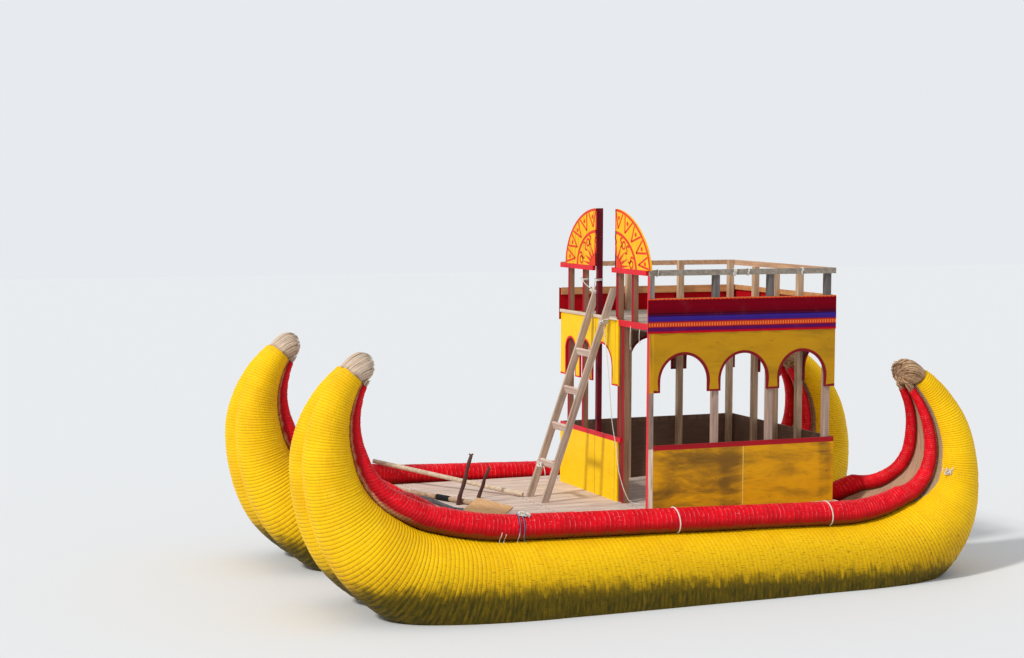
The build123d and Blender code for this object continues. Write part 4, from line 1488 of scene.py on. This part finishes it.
class LashingsOperator(bpy.types.Operator):
    """Tie the rope bands, knots and lashings"""

    bl_idname = "reed_boat.lashings"
    bl_label = "Lashings"

    def execute(self, context):
        self.roll_bands()
        self.rail_ties()
        self.roll_knot()
        self.stern_knot()
        self.ladder_ties()
        return {"FINISHED"}

    def loops(self, centre, size, count, radius, seed):
        """A small knot: closed loops of cord heaped on one spot."""
        chance = random.Random(seed)
        parts = []
        for _ in range(count):
            turn = chance.uniform(0, pi)
            spin = Matrix.Rotation(turn, 3, Vector((chance.uniform(-1, 1), chance.uniform(-1, 1), 0.6)))
            wide, tall = size * chance.uniform(0.6, 1.1), size * chance.uniform(0.4, 0.9)
            middle = Vector(centre) + Vector([chance.uniform(-0.3, 0.3) * size for _ in range(3)])
            ring = [Vector((wide * cos(angle), tall * sin(angle), 0.15 * size * sin(2 * angle)))
                    for angle in bearings(6)]
            ring = [middle + spin @ spot for spot in ring]
            parts.append(tube(smooth_path(ring, 4, True), radius, 6, True))
        return parts

    def strand(self, spots, radius, fray=0):
        """A short end of cord, frayed into thin threads at its tip."""
        path = smooth_path([Vector(spot) for spot in spots], 5)
        parts = [tube(path, radius, 6, taper=lambda t: 1.0 - 0.3 * t)]
        chance = random.Random(len(spots) + fray)
        tip = path[-1]
        for _ in range(fray):
            aside = (chance.uniform(-0.014, 0.014), chance.uniform(-0.006, 0.010))
            fall = Vector((*aside, -chance.uniform(0.02, 0.05)))
            parts.append(tube([tip + Vector((0, 0, 0.01)), tip + fall * 0.5, tip + fall], radius * 0.35, 4))
        return parts

    def over_roll(self, x, start, end, lift, steps=8):
        """Spots across the top of the port outer roll, from one angle to another."""
        row = level_row(x)
        angles = [radians(start + (end - start) * k / steps) for k in range(steps + 1)]
        return [Vector(on_roll(row, 1, 1, angle, lift)) for angle in angles]

    def hung_ends(self, ends, aside, lift, radius, fray):
        """Ends of cord that hang over the roll, each given by its place, two angles and its fall."""
        parts = []
        for x, first, last, fall in ends:
            spots = self.over_roll(x, first, last, lift)
            spots.append(spots[-1] + Vector((*aside, -fall)))
            parts += self.strand(spots, radius, fray)
        return parts

    def roll_knot(self):
        """The knot on the port roll beside the foredeck, with white and teal ends."""
        top = self.over_roll(1.55, 70, 70, 0.012, 1)[0]
        white = self.loops(top, 0.036, 7, 0.0042, 5)
        white += self.loops(top + Vector((-0.05, 0.01, -0.005)), 0.026, 4, 0.0042, 9)
        ends = ((1.80, -12, -50, 0.06), (1.775, -20, -50, 0.04), (1.60, -8, -50, 0.07))
        cord_piece("roll_knot", white + self.hung_ends(ends, (0.010, 0.006), 0.004, 0.0040, 3))
        ends = ((1.56, 85, -12, 0.05), (1.585, 85, 8, 0.04))
        cord_piece("roll_teal_cord", self.hung_ends(ends, (0.008, 0.008), 0.005, 0.0045, 2), "teal_cord")

    def stern_knot(self):
        """The knot on the outside of the port hull's stern."""
        row = min((r for r in HULL_LINE if r[3] < 0), key=lambda r: abs(r[3] + 78))
        reach, angle = row[4] + 0.010, radians(48)
        spot = Vector(section_point(row, 1, row[5], reach * cos(angle), reach * sin(angle)))
        knot = self.loops(spot, 0.030, 8, 0.0042, 21)
        for aside in (0.02, 0.05, -0.03):
            far = spot + Vector((aside * 1.6, 0.016, 0.05))
            knot += self.strand((spot, spot + Vector((aside, 0.012, 0.03)), far), 0.0036, 2)
        cord_piece("stern_knot", knot)

    def ladder_ties(self):
        """Lashings at the ladder's head, foot and rail, and loose ends beside them."""
        low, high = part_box("ladder_rails")
        head = Vector((low[0] + 0.045, low[1] + 0.015, high[2] - 0.05))
        front = CABIN_X + 1.03
        parts = self.loops(head + Vector((0.01, -0.075, 0.0)), 0.036, 8, 0.0050, 2)
        parts.append(lashing(head, (0.037, 0.016), 2, 3, 0.005, 0.036, 4))
        for start, middle, far in (
                ((0, -0.08, 0), (front, -0.42, 3.14), (front, -0.50, 3.19)),
                ((0, -0.03, 0.01), (front, -0.20, 3.16), (front, -0.15, 3.20))):
            parts += self.strand((head + Vector(start), middle, far), 0.0048)
        for y, z, seed in ((-0.51, 3.19, 7), (-0.18, 3.20, 8)):
            parts.append(lashing((CABIN_X + 1.0, y, z), (0.028, 0.028), 2, 2, 0.0048, 0.022, seed))
        foot_x = ladder_spot(RUNG_HEIGHTS[0]).x
        parts += self.loops((foot_x + 0.03, low[1] + 0.075, DECK_Z + 0.33), 0.034, 8, 0.0060, 31)
        foot = (foot_x, low[1] + 0.015, DECK_Z + 0.345)
        parts.append(lashing(foot, (0.038, 0.016), 2, 3, 0.005, 0.04, 14))
        level = 2.80
        rail_x = ladder_spot(level - DECK_Z).x
        parts.append(lashing((rail_x, high[1] - 0.015, level), (0.040, 0.016), 2, 4, 0.0048, 0.048, 6))
        parts += self.loops((rail_x + 0.03, high[1] + 0.012, level), 0.022, 5, 0.0045, 12)
        edge = CABIN_X + 1.062
        start = (rail_x, high[1], 2.82)
        parts += self.strand((start, (edge, 0.27, 2.833), (edge - 0.01, 0.40, 2.832)), 0.0042)
        start = (rail_x + 0.03, high[1] + 0.01, 2.79)
        parts += self.strand((start, (edge + 0.02, 0.155, 2.70), (edge + 0.015, 0.16, 2.62)), 0.0035, 3)
        for y, top, tip in ((0.70, 2.79, 2.59), (0.90, 2.77, 2.67)):
            spots = ((edge - 0.006, y, top), (edge, y + 0.004, (top + tip) / 2), (edge - 0.002, y, tip))
            parts += self.strand(spots, 0.0040, 4)
        cord_piece("ladder_lashings", parts)

    def roll_bands(self):
        """One turn of rope round each outer roll, at two places."""
        parts = []
        for x in (-0.02, -1.69):
            for _, ship_side in HULLS:
                path = []
                for angle in bearings(26):
                    point = Vector(on_roll(level_row(x), ship_side, 1, angle, 0.0045))
                    path.append(point + Vector((0.012 * sin(angle), 0, 0)))
                parts.append(tube(path, 0.0062, 7, True))
        cord_piece("roll_rope_bands", parts)

    def rail_ties(self):
        """Ties that hold the port top rail to its posts."""
        parts = []
        for index, (x, turns) in enumerate(((0.94, 1), (0.11, 4), (-0.04, 2), (-0.64, 2))):
            centre = Vector(cabin_spot(x, 1.035, 2.297))
            parts.append(lashing(centre, (0.016, 0.030), 0, turns, 0.0034, 0.009 * turns, index))
            parts += self.loops(centre + Vector((0, 0.018, 0.01)), 0.014, turns, 0.0030, index)
        cord_piece("rail_rope_ties", parts)


class LineOperator(bpy.types.Operator):
    """Hang the limp line from the ladder's head to the deck"""

    bl_idname = "reed_boat.line"
    bl_label = "Hanging Line"

    def execute(self, context):
        curve = bpy.data.curves.new("hanging_line", "CURVE")
        curve.dimensions = "3D"
        curve.bevel_depth = LINE_DIAMETER / 2
        curve.bevel_resolution = 3
        curve.resolution_u = 6
        curve.use_fill_caps = True
        spline = curve.splines.new("NURBS")
        spline.points.add(len(LINE_ROUTE) - 1)
        for point, spot in zip(spline.points, LINE_ROUTE):
            point.co = (*cabin_spot(*spot), 1.0)
        spline.order_u = 3
        spline.use_endpoint_u = True
        curve.materials.append(finish("white_rope"))
        line = aboard(linked("limp_line", curve), ("hanging_line",))
        cabin_spot(*LINE_ROUTE[0])
        return {"FINISHED"}


class StageOperator(bpy.types.Operator):
    """Set the floor at the waterline, the backdrop, the lights and the camera"""

    bl_idname = "reed_boat.stage"
    bl_label = "Stage"

    def execute(self, context):
        self.floor(context.scene.reed_boat.floor_height)
        self.sky(context.scene)
        self.key_light()
        context.scene.camera = self.camera()
        context.scene.view_settings.view_transform = "Standard"
        return {"FINISHED"}

    def floor(self, height):
        """Wide pale floor at the height of the water."""
        reach = 60.0
        corners = [(x * reach, y * reach, height) for x, y in ((-1, -1), (1, -1), (1, 1), (-1, 1))]
        mesh = bpy.data.meshes.new("floor")
        mesh.from_pydata(corners, [], [(0, 1, 2, 3)])
        mesh.materials.append(plain_studio("Pale floor", shade(226, 228, 230), 0.8))
        linked("studio_floor", mesh)

    def sky(self, scene):
        """Soft even light, which the camera and glossy surfaces see as a pale backdrop."""
        scene.world = bpy.data.worlds.new("Soft sky")
        sky = Finish("Soft sky", scene.world)
        light = sky.add("ShaderNodeBackground", None, {"Color": (0.93, 0.96, 1.0), "Strength": 0.66})
        backdrop = sky.add("ShaderNodeBackground", None, {"Color": (0.80, 0.83, 0.86), "Strength": 1.0})
        seen = sky.add("ShaderNodeLightPath", output="Is Camera Ray")
        glossy = sky.add("ShaderNodeLightPath", output="Is Glossy Ray")
        either = sky.add("ShaderNodeMath", {"operation": "MAXIMUM"}, {0: seen, 1: glossy})
        shown = sky.add("ShaderNodeMixShader", None, {0: either, 1: light, 2: backdrop})
        sky.add("ShaderNodeOutputWorld", None, {"Surface": shown}, None)

    def key_light(self):
        """Warm sun from the port bow, softened at its edges."""
        key = bpy.data.lights.new("Key light", "SUN")
        key.energy = 2.2
        key.angle = radians(6)
        key.color = (1.0, 0.97, 0.92)
        lamp = linked("Key light", key)
        lamp.rotation_mode = "QUATERNION"
        lamp.rotation_quaternion = Vector((-0.86, -0.30, -0.80)).to_track_quat("-Z", "Y")

    def camera(self):
        """Camera at the photograph's viewing angle."""
        camera = bpy.data.cameras.new("Photo view")
        camera.sensor_fit = "HORIZONTAL"
        camera.sensor_width = 36.0
        camera.lens = FOCAL_LENGTH / FRAME_WIDTH * camera.sensor_width
        camera.clip_start = 0.1
        camera.clip_end = 300.0
        view = linked("Photo view", camera)
        right = Vector((-0.92618, 0.37706, 0.00415))
        up = Vector((-0.02488, -0.07208, 0.99709))
        backwards = Vector((0.37626, 0.92338, 0.07614))
        place = Vector((7.9874, 17.2428, 4.1575))
        turn = Matrix((right, up, backwards)).transposed().to_4x4()
        view.matrix_world = Matrix.Translation(place) @ turn
        return view


class ReedBoatPanel(bpy.types.Panel):
    """Lists the boat's pieces in the order in which they are made"""

    bl_idname = "VIEW3D_PT_reed_boat"
    bl_label = "Reed Boat"
    bl_space_type = "VIEW_3D"
    bl_region_type = "UI"
    bl_category = "Reed Boat"

    def draw(self, context):
        settings = context.scene.reed_boat
        for key in ("yellow", "red", "sun_line", "cloth_ripple", "floor_height"):
            self.layout.prop(settings, key)
        for step in STEPS:
            self.layout.operator(step.bl_idname)


STEPS = (
    StageOperator, LineOperator, BundlesOperator, RollsOperator, TuftsOperator, DeckOperator,
    WallsOperator, PostsOperator, RoofOperator, RailingsOperator, ClothOperator, SunBoardsOperator,
    LadderOperator, GearOperator, LashingsOperator,
)
CLASSES = (ReedBoatSettings, *STEPS, ReedBoatPanel)


def register():
    for item in CLASSES:
        bpy.utils.register_class(item)
    bpy.types.Scene.reed_boat = bpy.props.PointerProperty(type=ReedBoatSettings)


def unregister():
    del bpy.types.Scene.reed_boat
    for item in reversed(CLASSES):
        bpy.utils.unregister_class(item)


def main():
    register()
    for step in STEPS:
        family, name = step.bl_idname.split(".")
        getattr(getattr(bpy.ops, family), name)()


if __name__ == "__main__":
    main()
